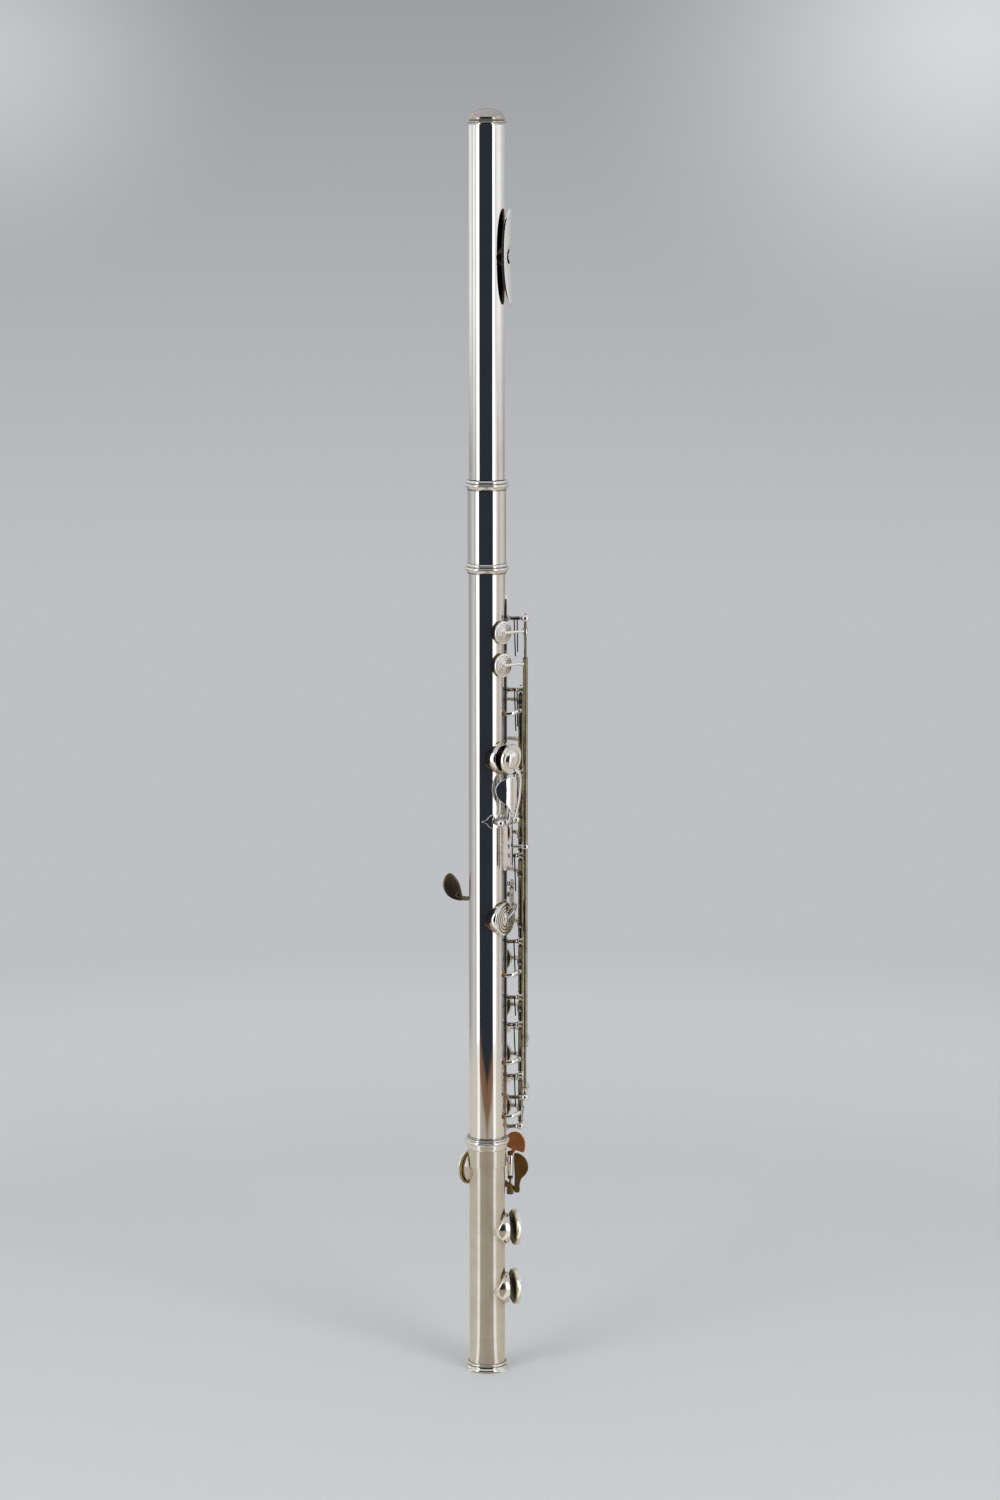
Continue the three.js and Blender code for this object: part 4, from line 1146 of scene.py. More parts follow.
@dataclass
class Barrel:
    """The socket sleeve with a beaded ring at each end, and the tenon that slides in it."""

    inside: float = 9.62
    outside: float = 10.3
    span: tuple[float, float] = (447.0, 491.3)
    tenon: tuple[float, float] = (452.0, 491.5)
    upper: tuple[float, float] = (486.0, 491.5)
    lower: tuple[float, float] = (441.5, 446.9)
    ring_outside: float = 12.1

    def sleeve(self) -> None:
        """The plain sleeve."""
        low, high = self.span
        profile: Profile = [(self.inside, low), (self.outside - 0.1, low), (self.outside, low + 0.1)]
        profile += [(self.outside, high - 0.1), (self.outside - 0.1, high), (self.inside, high)]
        shape = Shape().turned(profile, Matrix.Identity(4), 128, closed=True)
        piece(shape, "barrel_sleeve_fine", "body_joint", [Finish.TUBE], ["barrel_sleeve"])

    def ring(self, name: str, low: float, high: float, inside: float) -> None:
        """A ring that flares up to a rounded lip, with a groove and a bead above it."""
        wide = self.ring_outside
        lip = high - 2.7
        profile: Profile = [(inside, low), (wide - 1.65, low), (wide - 1.6, low + 0.5)]
        profile += [(wide - 1.4, low + 1.2), (wide - 0.6, lip - 0.6)]
        profile += bead(lip - 0.45, lip + 0.55, wide - 0.3, wide, 6)
        profile += [(wide - 0.8, lip + 0.75), (wide - 1.6, lip + 0.85)]
        profile += bead(lip + 1.0, high - 0.05, wide - 1.65, wide - 0.95, 8) + [(inside, high)]
        stains = [0.7 if radius < wide - 1.5 else 0.03 for radius, _ in profile]
        shape = Shape().turned(profile, Matrix.Identity(4), 112, closed=True, stains=stains)
        piece(shape, f"{name}_fine", "body_joint", [Finish.KEY], [name], sharp=60)

    def build(self) -> None:
        """Makes the barrel's pieces and the tenon."""
        self.sleeve()
        self.ring("barrel_upper_ring", *self.upper, self.outside + 0.1)
        self.ring("barrel_lower_ring", *self.lower, 9.9)
        low, high = self.tenon
        profile: Profile = [(9.1, low), (9.5, low), (9.5, high), (9.1, high)]
        shape = Shape().turned(profile, Matrix.Identity(4), 128, closed=True)
        piece(shape, "head_tenon_fine", "tuning_slide", [Finish.TUBE], ["head_tenon"])


# ---------------------------------------------------------------- tubes with tone holes


@dataclass
class HoledTube:
    """A tube with a flared chimney drawn up round each tone hole."""

    name: str
    body: str
    low: float
    high: float
    tones: tuple[str, ...]
    finish: Finish
    outside: float = 9.8
    bore: float = 9.45
    wall: float = 0.45
    flare: float = 1.45
    sides: int = 128

    def chimney(self, shape: Shape, tone: ToneHole) -> None:
        """A thin-walled chimney that flares out smoothly onto the tube."""
        sides, place = 72, tone.place
        outer = tone.radius + self.wall
        flare = min(self.flare, 9.55 - outer)

        def ring(radius: float, level: Callable[[float], float]) -> list[Vector]:
            """A ring at a distance from the hole's axis, with its height from its offset."""
            row = []
            for k in range(sides):
                c, s = circle(k / sides * math.tau)
                row.append(place @ Vector((radius * c, radius * s, level(radius * c))))
            return row

        def on_tube(offset: float, lift: float, radius: float = self.outside) -> float:
            """The height of the tube's surface at an offset from the hole's axis."""
            return math.sqrt(max(radius ** 2 - offset ** 2, 0.01)) + lift

        rings = [ring(outer + flare, lambda x: on_tube(x, -0.12))]
        stains, steps = [0.35], 8
        for k in range(steps + 1):
            angle = k / steps * math.pi / 2
            radius = outer + flare * (1 - math.sin(angle))
            lift = flare * (1 - math.cos(angle)) + (0.015 if k else 0.0)
            rings.append(ring(radius, lambda x, up=lift: min(on_tube(x, up), tone.rim - 0.15)))
            stains.append(0.75 * (1 - k / steps) + 0.1)
        rings += [ring(outer, lambda x: tone.rim - 0.1), ring(outer - 0.06, lambda x: tone.rim - 0.02)]
        rings += [ring(outer - 0.2, lambda x: tone.rim), ring(tone.radius + 0.06, lambda x: tone.rim - 0.03)]
        rings += [ring(tone.radius, lambda x: tone.rim - 0.15)]
        rings += [ring(tone.radius, lambda x: on_tube(x, -0.02, self.bore))]
        rings += [ring(tone.radius + 0.3, lambda x: on_tube(x, -0.02, self.bore))]
        stains += [0.0, 0.0, 0.0, 0.0, 0.3, 0.6, 0.6]
        shape.loft(rings, closed=True, stains=stains)

    def build(self) -> None:
        """Makes the tube, cuts its holes, stains it round them and adds the chimneys."""
        profile: Profile = [(self.bore, self.low), (self.outside - 0.08, self.low)]
        steps = round((self.high - self.low) / 1.6)
        for k in range(steps + 1):
            profile.append((self.outside, self.low + 0.1 + (self.high - self.low - 0.2) * k / steps))
        profile += [(self.outside - 0.08, self.high), (self.bore, self.high)]
        shape = Shape().turned(profile, Matrix.Identity(4), self.sides, closed=True)
        thing = object_of(shape.mesh(self.name))
        tools, chimneys = Shape(), Shape()
        for name in self.tones:
            tone = HOLES[name]
            drum: Profile = [(0, 1), (tone.radius + 0.2, 1), (tone.radius + 0.2, 13), (0, 13)]
            tools.turned(drum, tone.place, 48)
            self.chimney(chimneys, tone)
        drilled(thing, tools)
        self.stain(thing.data)
        round_normals(thing.data, [self.outside, self.bore])
        other = object_of(chimneys.mesh(f"{self.name}_chimneys", sharp=50))
        with bpy.context.temp_override(active_object=thing, selected_editable_objects=[thing, other]):
            bpy.ops.object.join()
        deliver(thing, self.body, [self.finish], [self.name.removesuffix("_fine")])

    def stain(self, mesh: bpy.types.Mesh) -> None:
        """Darkens the plate round each chimney's foot, where polish never reaches."""
        stain = mesh.attributes["stain"].data
        for vertex, value in zip(mesh.vertices, stain):
            point = Vector(vertex.co) / MM - BENCH.axis
            worst = 0.0
            for name in self.tones:
                tone = HOLES[name]
                local = tone.place.inverted() @ point
                if local.z < 0:
                    continue
                away = math.hypot(local.x, local.y) - tone.radius - self.wall
                worst = max(worst, 0.75 * math.exp(-max(away, 0) / 1.5))
            value.value = worst if worst > 0.02 else 0.0


@dataclass
class KeyRib:
    """The strap soldered along the body with all its posts and the guide eye."""

    inside: float = 9.85
    outside: float = 10.9
    azimuths: tuple[float, float] = (80.0, 116.0)
    span: tuple[float, float] = (134.0, 430.2)
    saddle_gap: tuple[float, float] = (303.6, 312.6)
    main_posts: tuple[float, ...] = (378.3, 333, 287.5, 240, 208.9, 193.8, 165.1, 136.7)
    trill_posts: tuple[float, ...] = (417.3, 153.7)
    g_posts: tuple[float, ...] = (256.8, 271.5)
    eye_height: float = 293.0
    body: str = "body_joint"

    def strap(self) -> None:
        """The strap, cleared round each chimney, with soft edges."""
        low, high = self.span
        first, last = self.azimuths
        rings, stations, columns, runout = [], 148, 12, 9
        for k in range(stations + 1):
            height = low + (high - low) * k / stations
            taper = max(0.0, min(1.0, (high - height) / runout)) ** 0.5
            middle, half = (first + last) / 2, (last - first) / 2 * max(taper, 0.06)
            around = [middle - half + 2 * half * i / columns for i in range(columns + 1)]
            section = [polar(around[0] + 0.4, self.inside, height)]
            section += [polar(around[0], self.outside - 0.25, height)]
            section += [polar(a, self.outside, height) for a in around[1:-1]]
            section += [polar(around[-1], self.outside - 0.25, height)]
            section += [polar(around[-1] - 0.4, self.inside, height)]
            section += [polar(a, self.inside, height) for a in reversed(around[1:-1])]
            rings.append(section)
        thing = object_of(Shape().loft(rings).mesh("key_rib_fine", sharp=30))
        tools = chimney_room(tuple(name for name in HOLES if name not in FOOT_HOLES))
        corners = ((60, 9), (92, 9), (92, 12), (60, 12))
        tools.loft([[polar(a, r, z) for a, r in corners] for z in self.saddle_gap])
        drilled(thing, tools)
        round_normals(thing.data, [self.outside, self.inside])
        deliver(thing, self.body, [Finish.KEY], ["key_rib"])

    def posts(self) -> None:
        """Rows of turned posts for the three hinge lines."""
        rows = ((MAIN, self.main_posts, HARDWARE.ball), (TRILL, self.trill_posts, HARDWARE.ball),
                (G_LINE, self.g_posts, 1.8))
        for name, (line, heights, ball) in zip(("main_posts", "trill_posts", "g_sharp_posts"), rows):
            copy = HARDWARE.post(self.outside - 0.15, line.radius, ball)
            places = [UP * height for height in heights]
            thing = ROWS.row(name, copy, places, line.azimuth, Finish.KEY)
            deliver(thing, self.body, [Finish.KEY])

    def eye(self) -> None:
        """The guide eye that steadies the long trill tube."""
        shape = Shape()
        ring = bead(-1, 1, 2.2, 2.4, 8) + bead(-1, 1, 2.0, 1.7, 8)[::-1]
        shape.turned(ring, Matrix.Translation(TRILL.at(self.eye_height)), 32, closed=True)
        base = polar(TRILL.azimuth, self.outside - 0.2, self.eye_height)
        head = polar(TRILL.azimuth, TRILL.radius - 2.1, self.eye_height)
        shape.sweep([base, (base + head) / 2, head], [(1.5, 1.3), (0.85, 0.85), (0.95, 0.95)], stain=0.2)
        piece(shape, "guide_eye", self.body, [Finish.KEY])

    def build(self) -> None:
        """Makes the strap and what stands on it."""
        self.strap()
        self.posts()
        self.eye()


@dataclass
class ThumbSaddle:
    """The saddle across the back of the tube that carries the thumb keys' rod."""

    azimuth: float = 54.0
    height: float = 308.1
    radius: float = 14.3
    post: float = 7.0
    inside: float = 9.82
    outside: float = 10.7
    body: str = "body_joint"

    def build(self) -> None:
        """Makes the saddle's foot, pointed at one end, and its two ball posts."""

        def bend(point: Vector) -> Vector:
            """Wraps a flat point (arc length, height, rise) round the tube."""
            turn = math.degrees(point.x / self.outside)
            return polar(self.azimuth + turn, self.inside + point.z, self.height + point.y)

        outline = freehand([(-13.2, 0), (-10.6, 1.0), (-8.4, 3.2), (-5.5, 4.0), (0, 3.6), (4.8, 4.0),
                            (6.4, 3.4), (6.6, 0), (6.4, -3.4), (4.8, -4.0), (0, -3.6), (-5.5, -4.0),
                            (-8.4, -3.2), (-10.6, -1.0)])
        shape = Shape().plate(outline, 0.0, self.outside - self.inside, bend, 96, edge=0.04)
        spread = math.degrees(math.atan2(self.post, self.radius))
        for side in (-1, 1):
            reach = math.hypot(self.post, self.radius)
            post = HARDWARE.post(self.outside - 0.15, reach, HARDWARE.ball)
            turn = Matrix.Rotation(math.radians(self.azimuth + side * spread), 4, "Z")
            shape.add(post.moved(Matrix.Translation(UP * self.height) @ turn))
        piece(shape, "thumb_saddle_fine", self.body, [Finish.KEY], ["thumb_saddle"])


# ------------------------------------------------------------------------- body keys


@dataclass(frozen=True)
class MainKey:
    """One key on the long hinge line behind the tube."""

    name: str
    tube: tuple[float, float]
    tones: tuple[str, ...]
    stops: tuple[float, ...] = ()
    touch: float | None = None
    open: float = 9.0

    def stop_foot(self, shape: Shape, height: float) -> None:
        """A tail that curls under the tube's side, with a cork bumper at its end."""
        start = MAIN.at(height + 1.0)
        end = polar(66, 11.3, height)
        path = [start, Vector((16.9, -0.6, height + 0.9)), Vector((14.0, -3.4, height + 0.2)), end]
        shape.sweep(path, [(1.4, 1.0), (1.4, 1.0), (1.35, 0.9), (1.2, 0.6)], steps=20)
        bumper = spot(66, height)
        shape.turned([(0, 9.95), (1.1, 9.95), (1.2, 10.1), (1.2, 10.85), (0, 10.85)], bumper, 20, finish=1)

    def finger_plate(self, shape: Shape) -> None:
        """A round touch level with the cups."""
        tone = ToneHole(self.touch, 165, 4, 11.5, 6, 1.2)
        tone.wrap_arm(shape, MAIN)
        level = tone.top
        profile: Profile = [(0, level - 1.2), (5.7, level - 1.2), (6, level - 0.9), (6, level - 0.3)]
        profile += [(5.7, level - 0.05), (4.5, level), (0, level - 0.25)]
        shape.turned(profile, tone.place, 56)

    def build(self) -> None:
        """Makes the key and its pads."""
        shape = Shape()
        for tone in self.tones:
            HOLES[tone].add_cup(shape)
            HOLES[tone].wrap_arm(shape, MAIN)
        if self.touch is not None:
            self.finger_plate(shape)
        opened = MAIN.turn(-self.open)
        shape.moved(opened)
        for height in self.stops:
            self.stop_foot(shape, height)
        HARDWARE.hinge_tube(shape, MAIN, *self.tube, finish=2)
        for tone in self.tones:
            height = HOLES[tone].height
            if self.tube[0] < height < self.tube[1]:
                self.saddle(shape, height)
        body = f"{self.name}_key"
        piece(shape, f"{body}_fine", body, [Finish.KEY, Finish.CORK, Finish.ROD], [body])
        for tone in self.tones:
            pad = HOLES[tone].pad_shape().moved(opened)
            # Holes at azimuth 180 or less get the darker rim: painted shade.
            rim = Finish.SKIN if HOLES[tone].azimuth > 180 else Finish.AGED
            add_pad(pad, tone, body, rim)

    @staticmethod
    def saddle(shape: Shape, height: float) -> None:
        """The soldered sleeve that joins an arm to its hinge tube."""
        profile: Profile = [(1.1, height - 1.6), (1.7, height - 1.6), (1.85, height - 1.2)]
        profile += [(1.85, height + 1.2), (1.7, height + 1.6), (1.1, height + 1.6)]
        shape.turned(profile, Matrix.Translation(MAIN.at(0)), 24, closed=True, stains=[0.5] * 6)


MAIN_KEYS = (
    MainKey("c_sharp", (335.4, 375.8), ("c_sharp",), (366.0,), 350.0),
    MainKey("bb", (308.8, 330.6), ("bb",)),
    MainKey("a", (289.9, 308.5), ("a",)),
    MainKey("g", (242.4, 285.1), ("g_upper", "g_lower")),
    MainKey("f_sharp", (211.4, 237.6), ("f_sharp",), (222.5,)),
    MainKey("f", (196.2, 206.5), ("f",)),
    MainKey("e", (167.6, 191.4), ("e",), (173.9,)),
    MainKey("d", (139.2, 162.6), ("d",), (143.6,)),
)


@dataclass
class TrillKeys:
    """The two trill keys: small ringed cups near the top, touches near the foot."""

    upper_tube_ends: tuple[float, float] = (152.0, 419.0)
    lower_tube: tuple[float, float] = (182.0, 396.0)

    def cup(self, shape: Shape, tone: ToneHole) -> None:
        """The cup with a thin arm from its boss to the hinge tube."""
        tone.add_cup(shape)
        across, out = TRILL.seen_from(tone.azimuth)
        top = tone.top
        path = [(0.2, 0, top + 0.25), (across * 0.35, 0, top + 0.75), (across * 0.75, 0, top + 1.6),
                (across, 0, out)]
        sizes = [(0.8, 0.55), (0.8, 0.55), (0.85, 0.6), (0.9, 0.6)]
        shape.sweep([tone.place @ Vector(p) for p in path], sizes, steps=22)
        profile: Profile = [(0, top - 0.3), (1.35, top - 0.3), (1.35, top + 0.1)]
        profile += arc((1.35, top + 0.1), (0.4, top + 0.75), 0.2, 5)[1:] + [(0, top + 0.8)]
        shape.turned(profile, tone.place, 28)

    def touch(self, shape: Shape, hub: float, height: float) -> None:
        """An arm that reaches over the hinge tubes to an oval touch piece."""
        path = [TRILL.at(hub), Vector((22.15, 4, hub + 1)), Vector((19, 12, height)),
                Vector((12, 16.6, height)), polar(150, 18.3, height)]
        shape.sweep(path, [(1.2, 0.9), (1.15, 0.9), (1.0, 0.8), (0.9, 0.6), (0.7, 0.4)], steps=34, stain=0.15)
        shape.plate(squared(4.5, 3.5, 2.2), 17.8, 19.0, spot(150, height), 48, edge=0.1, dome=0.25)

    def build(self) -> None:
        """Makes both keys and their pads."""
        upper, lower = HOLES["trill_1"], HOLES["trill_2"]
        shape = Shape()
        self.cup(shape, upper)
        self.touch(shape, 157.6, 160.1)
        HARDWARE.hinge_tube(shape, TRILL, upper.height - 1.8, upper.height + 1.8)
        HARDWARE.hinge_tube(shape, TRILL, 156.3, 159.1)
        HARDWARE.rod(shape, TRILL, *self.upper_tube_ends, finish=1)
        piece(shape, "trill_1_key_fine", "trill_1_key", [Finish.KEY, Finish.ROD], ["trill_1_key"])
        add_pad(upper.pad_shape(), "trill_1", "trill_1_key")
        shape = Shape()
        self.cup(shape, lower)
        self.touch(shape, 184.9, 188.6)
        HARDWARE.hinge_tube(shape, TRILL, *self.lower_tube, finish=1)
        piece(shape, "trill_2_key_fine", "trill_2_key", [Finish.KEY, Finish.ROD], ["trill_2_key"])
        add_pad(lower.pad_shape(), "trill_2", "trill_2_key")


@dataclass
class GSharpKey:
    """A closed cup on the near side and a teardrop lever that reaches round the far side."""

    tube: tuple[float, float] = (258.9, 269.4)

    def build(self) -> None:
        """Makes the key and its pad."""
        tone = HOLES["g_sharp"]
        shape = Shape()
        tone.add_cup(shape)
        across, out = G_LINE.seen_from(tone.azimuth)
        top = tone.top
        path = [(across, 7, out), (10.3, 6.5, 11.6), (6, 4, top + 0.9), (0, 0.5, top + 0.35)]
        shape.sweep([tone.place @ Vector(p) for p in path], [(1.0, 0.7), (1.0, 0.7), (0.9, 0.6), (0.4, 0.4)],
                    steps=22, stain=0.2)
        lever = [G_LINE.at(266.5), Vector((10.5, 11.6, 264)), Vector((1, 14.2, 262.4)),
                 Vector((-8.6, 11.6, 262)), Vector((-13.4, 10.2, 262.4)), Vector((-16.4, 10, 264.5))]
        sizes = [(1.3, 0.8), (1.3, 0.8), (1.2, 0.75), (1.15, 0.7), (1.3, 0.6), (1.8, 0.5)]
        shape.sweep(lever, sizes, steps=40, finish=1)
        outline = freehand([(13.6, 264.6), (14.1, 266.9), (14.8, 269.8), (16.2, 272.8), (18.5, 275.6),
                            (20.3, 276.4), (22.3, 275.4), (23.8, 272.4), (24.1, 269.4), (23.5, 266.9),
                            (22.0, 264.3), (19.5, 262.3), (16.4, 261.2), (13.6, 261.2)])
        shape.plate(outline, 9.4, 10.6, spot(180, 0), 96, middle=(19.2, 268.8), edge=0.07, dome=0.5, under=1)
        HARDWARE.hinge_tube(shape, G_LINE, *self.tube)
        piece(shape, "g_sharp_key_fine", "g_sharp_key", [Finish.KEY, Finish.UMBER], ["g_sharp_key"])
        add_pad(tone.pad_shape(), "g_sharp", "g_sharp_key")


@dataclass
class ThumbKeys:
    """The thumb key and its side lever, which rock on a rod across the tube."""

    azimuth: float = 54.0
    height: float = 308.1
    radius: float = 14.3
    open: float = 6.0
    leaf_axis: tuple[float, float] = (7.16, -2.5)
    leaf_radius: float = 9.4
    leaf_azimuth: float = 40.0

    @property
    def place(self) -> Matrix:
        """Axes at the rod: x along it, y up the tube, z outwards."""
        axes = spot(self.azimuth, self.height)
        axes.translation = polar(self.azimuth, self.radius, self.height)
        return axes

    def at(self, across: float, height: float, out: float) -> Vector:
        """A point given at the rod, by height and distance from the bore's axis."""
        return self.place @ Vector((across, height - self.height, out - self.radius))

    def hub(self, shape: Shape, start: float, end: float) -> None:
        """A short sleeve on the rod."""
        along = self.place @ Matrix.Rotation(math.pi / 2, 4, "Y")
        profile: Profile = [(1.05, start), (1.75, start), (1.9, start + 0.2), (1.9, end - 0.2)]
        profile += [(1.75, end), (1.05, end)]
        shape.turned(profile, along, 28, closed=True, stains=[0.2] * 6)

    def tail(self, shape: Shape, low: float, high: float, end: float) -> None:
        """A flat spring tail that lies along the tube below the rod."""
        outline = freehand([(low, end), (high, end), (high - 0.1, -12), (high - 0.6, -1),
                            (low + 0.1, -1), (low, -12)])
        middle = ((low + high) / 2, end / 2)
        shape.plate(outline, -1.7, -0.9, self.place, 48, middle=middle, edge=0.16)

    def key(self) -> None:
        """The thumb cup on its long curved arm."""
        tone = HOLES["thumb"]
        shape = Shape()
        tone.add_cup(shape)
        arm = [self.at(3.2, 336.4, 13.6), self.at(6.0, 333.6, 14.6), self.at(7.0, 328, 14.9),
               self.at(6.9, 319, 15.0), self.at(4.9, 311.4, 15.0), self.at(3.4, 308.4, 15.2)]
        across = self.place.to_3x3() @ Vector((1, 0, 0))
        sizes = [(0.9, 0.5), (1.2, 0.65), (1.25, 0.7), (1.3, 0.75), (1.2, 0.8), (1.0, 0.8)]
        shape.sweep(arm, sizes, flat=across, steps=34)
        pivot = self.place @ Matrix.Rotation(math.radians(self.open), 4, "X") @ self.place.inverted()
        shape.moved(pivot)
        self.tail(shape, 3.6, 5.6, -25)
        self.hub(shape, 1.9, 4.4)
        piece(shape, "thumb_b_key_fine", "thumb_b_key", [Finish.KEY], ["thumb_b_key"])
        add_pad(tone.pad_shape().moved(pivot), "thumb", "thumb_b_key")

    def lever(self) -> None:
        """The side lever: a broad curved leaf that narrows into its neck."""

        def bend(point: Vector) -> Vector:
            """Wraps a flat point (arc length, height, rise) round the leaf's own axis."""
            turn = math.radians(self.leaf_azimuth) + point.x / self.leaf_radius
            reach = self.leaf_radius + point.z
            x, y = self.leaf_axis
            return Vector((x + reach * math.sin(turn), y - reach * math.cos(turn), point.y))

        shape = Shape()
        outline = freehand([(-2.2, 332.5), (-5.6, 331.2), (-8.4, 328.4), (-9.1, 325.2), (-8.0, 321.6),
                            (-5.6, 318.9), (-2.9, 316.6), (-0.9, 313.6), (0.3, 311.8), (1.3, 313.4),
                            (2.3, 318.0), (3.1, 323.2), (3.4, 328.4), (2.9, 331.4), (1.2, 332.5)])
        shape.plate(outline, 0.0, 1.1, bend, 110, middle=(-2.0, 324.0), edge=0.06)
        neck = [self.at(-0.3, 315, 15.7), self.at(-1.2, 311.5, 15.8), self.at(-1.6, 308.6, 15.4)]
        across = self.place.to_3x3() @ Vector((1, 0, 0))
        shape.sweep(neck, [(1.3, 0.6), (1.3, 0.8), (1.4, 0.9)], flat=across, stain=0.15)
        self.tail(shape, -2.8, 0.9, -25.5)
        self.hub(shape, -4.4, 1.5)
        piece(shape, "thumb_bb_lever_fine", "thumb_bb_lever", [Finish.KEY], ["thumb_bb_lever"])

    def build(self) -> None:
        """Makes both thumb pieces."""
        self.key()
        self.lever()


# ------------------------------------------------------------------------- foot joint


@dataclass
class FootJoint:
    """Socket, rings and rib of the foot; its tube is a HoledTube."""

    tube: float = 9.8
    rib_azimuths: tuple[float, float] = (156.0, 180.0)
    rib_span: tuple[float, float] = (37.5, 115.2)
    posts: tuple[float, ...] = (41.5, 62.0, 115.8)
    body: str = "foot_joint"

    def sleeve(self) -> None:
        """The socket sleeve, cut away round the D sharp chimney."""
        profile: Profile = [(self.tube + 0.05, 115.5), (10.3, 115.5), (10.4, 115.62)]
        rows = 12
        profile += [(10.4, 115.8 + 12.8 * k / rows) for k in range(rows + 1)]
        profile += [(10.4, 128.7), (10.3, 128.8), (self.tube + 0.05, 128.8)]
        stains = [0.9, 0.5] + [0.0] * (len(profile) - 2)
        shape = Shape().turned(profile, Matrix.Identity(4), 128, closed=True, stains=stains)
        thing = object_of(shape.mesh("foot_socket_sleeve_fine"))
        tone = HOLES["d_sharp"]
        drilled(thing, Shape().turned([(0, 1), (9.0, 1), (9.0, 13), (0, 13)], tone.place, 64))
        foot = spot(FOOT_LINE.azimuth, 115.8)
        drilled(thing, Shape().turned([(0, 9), (1.5, 9), (1.5, 13), (0, 13)], foot, 24))
        round_normals(thing.data, [10.4])
        deliver(thing, self.body, [Finish.FOOT], ["foot_socket_sleeve"])

    def socket_ring(self) -> None:
        """The big ring at the socket's mouth, which flares up to a rounded lip under a bead."""
        profile: Profile = [(10.5, 125.4), (10.8, 125.4), (11.0, 125.7), (11.3, 127.0), (11.75, 128.6)]
        profile += bead(129.0, 130.3, 11.95, 12.3, 8) + [(11.3, 130.45), (10.9, 130.5)]
        profile += bead(130.6, 131.35, 10.85, 11.25, 5)
        profile += [(10.9, 131.4), (10.9, 132.1), (10.8, 132.2), (9.9, 132.2), (9.9, 129.1), (10.5, 129.1)]
        stains = [0.6 if radius < 10.95 else 0.03 for radius, _ in profile]
        shape = Shape().turned(profile, Matrix.Identity(4), 112, closed=True, stains=stains)
        piece(shape, "foot_socket_ring_fine", self.body, [Finish.KEY], ["foot_socket_ring"], sharp=60)

    def end_ring(self) -> None:
        """The ring at the open end: a fine bead, a hollow and a broad foot."""
        profile: Profile = [(9.85, 0), (11.2, 0)]
        profile += arc((11.2, 0), (11.5, 0.5), 0.05, 3)[1:] + arc((11.5, 0.5), (11.1, 1.9), 0.15, 5)[1:]
        profile += arc((11.1, 1.9), (10.45, 3.2), -0.18, 6)[1:]
        profile += bead(3.3, 4.55, 10.4, 10.85, 6) + [(9.85, 4.6)]
        stains = [0.7 if radius < 10.6 else 0.15 for radius, _ in profile]
        shape = Shape().turned(profile, Matrix.Identity(4), 112, closed=True, stains=stains)
        piece(shape, "foot_end_ring_fine", self.body, [Finish.KEY], ["foot_end_ring"], sharp=60)

    def rib(self) -> None:
        """The foot's rib with its three posts."""
        low, high = self.rib_span
        first, last = self.rib_azimuths
        inside, outside = 9.82, 10.55
        rings, stations, columns, runout = [], 60, 8, 4
        for k in range(stations + 1):
            height = low + (high - low) * k / stations
            taper = max(min((high - height) / runout, (height - low) / runout, 1.0), 0.02) ** 0.5
            middle, half = (first + last) / 2, (last - first) / 2 * max(taper, 0.1)
            around = [middle - half + 2 * half * i / columns for i in range(columns + 1)]
            section = [polar(around[0], inside, height)] + [polar(a, outside, height) for a in around]
            section += [polar(a, inside, height) for a in reversed(around[1:])]
            rings.append(section)
        thing = object_of(Shape().loft(rings).mesh("foot_rib_fine"))
        drilled(thing, chimney_room(FOOT_HOLES))
        round_normals(thing.data, [outside, inside])
        deliver(thing, self.body, [Finish.KEY], ["foot_rib"])
        copy = HARDWARE.post(10.4, FOOT_LINE.radius, HARDWARE.ball)
        places = [UP * height for height in self.posts]
        deliver(ROWS.row("foot_posts", copy, places, FOOT_LINE.azimuth, Finish.KEY), self.body, [Finish.KEY])

    def build(self) -> None:
        """Makes the foot's plain pieces."""
        self.sleeve()
        self.socket_ring()
        self.end_ring()
        self.rib()


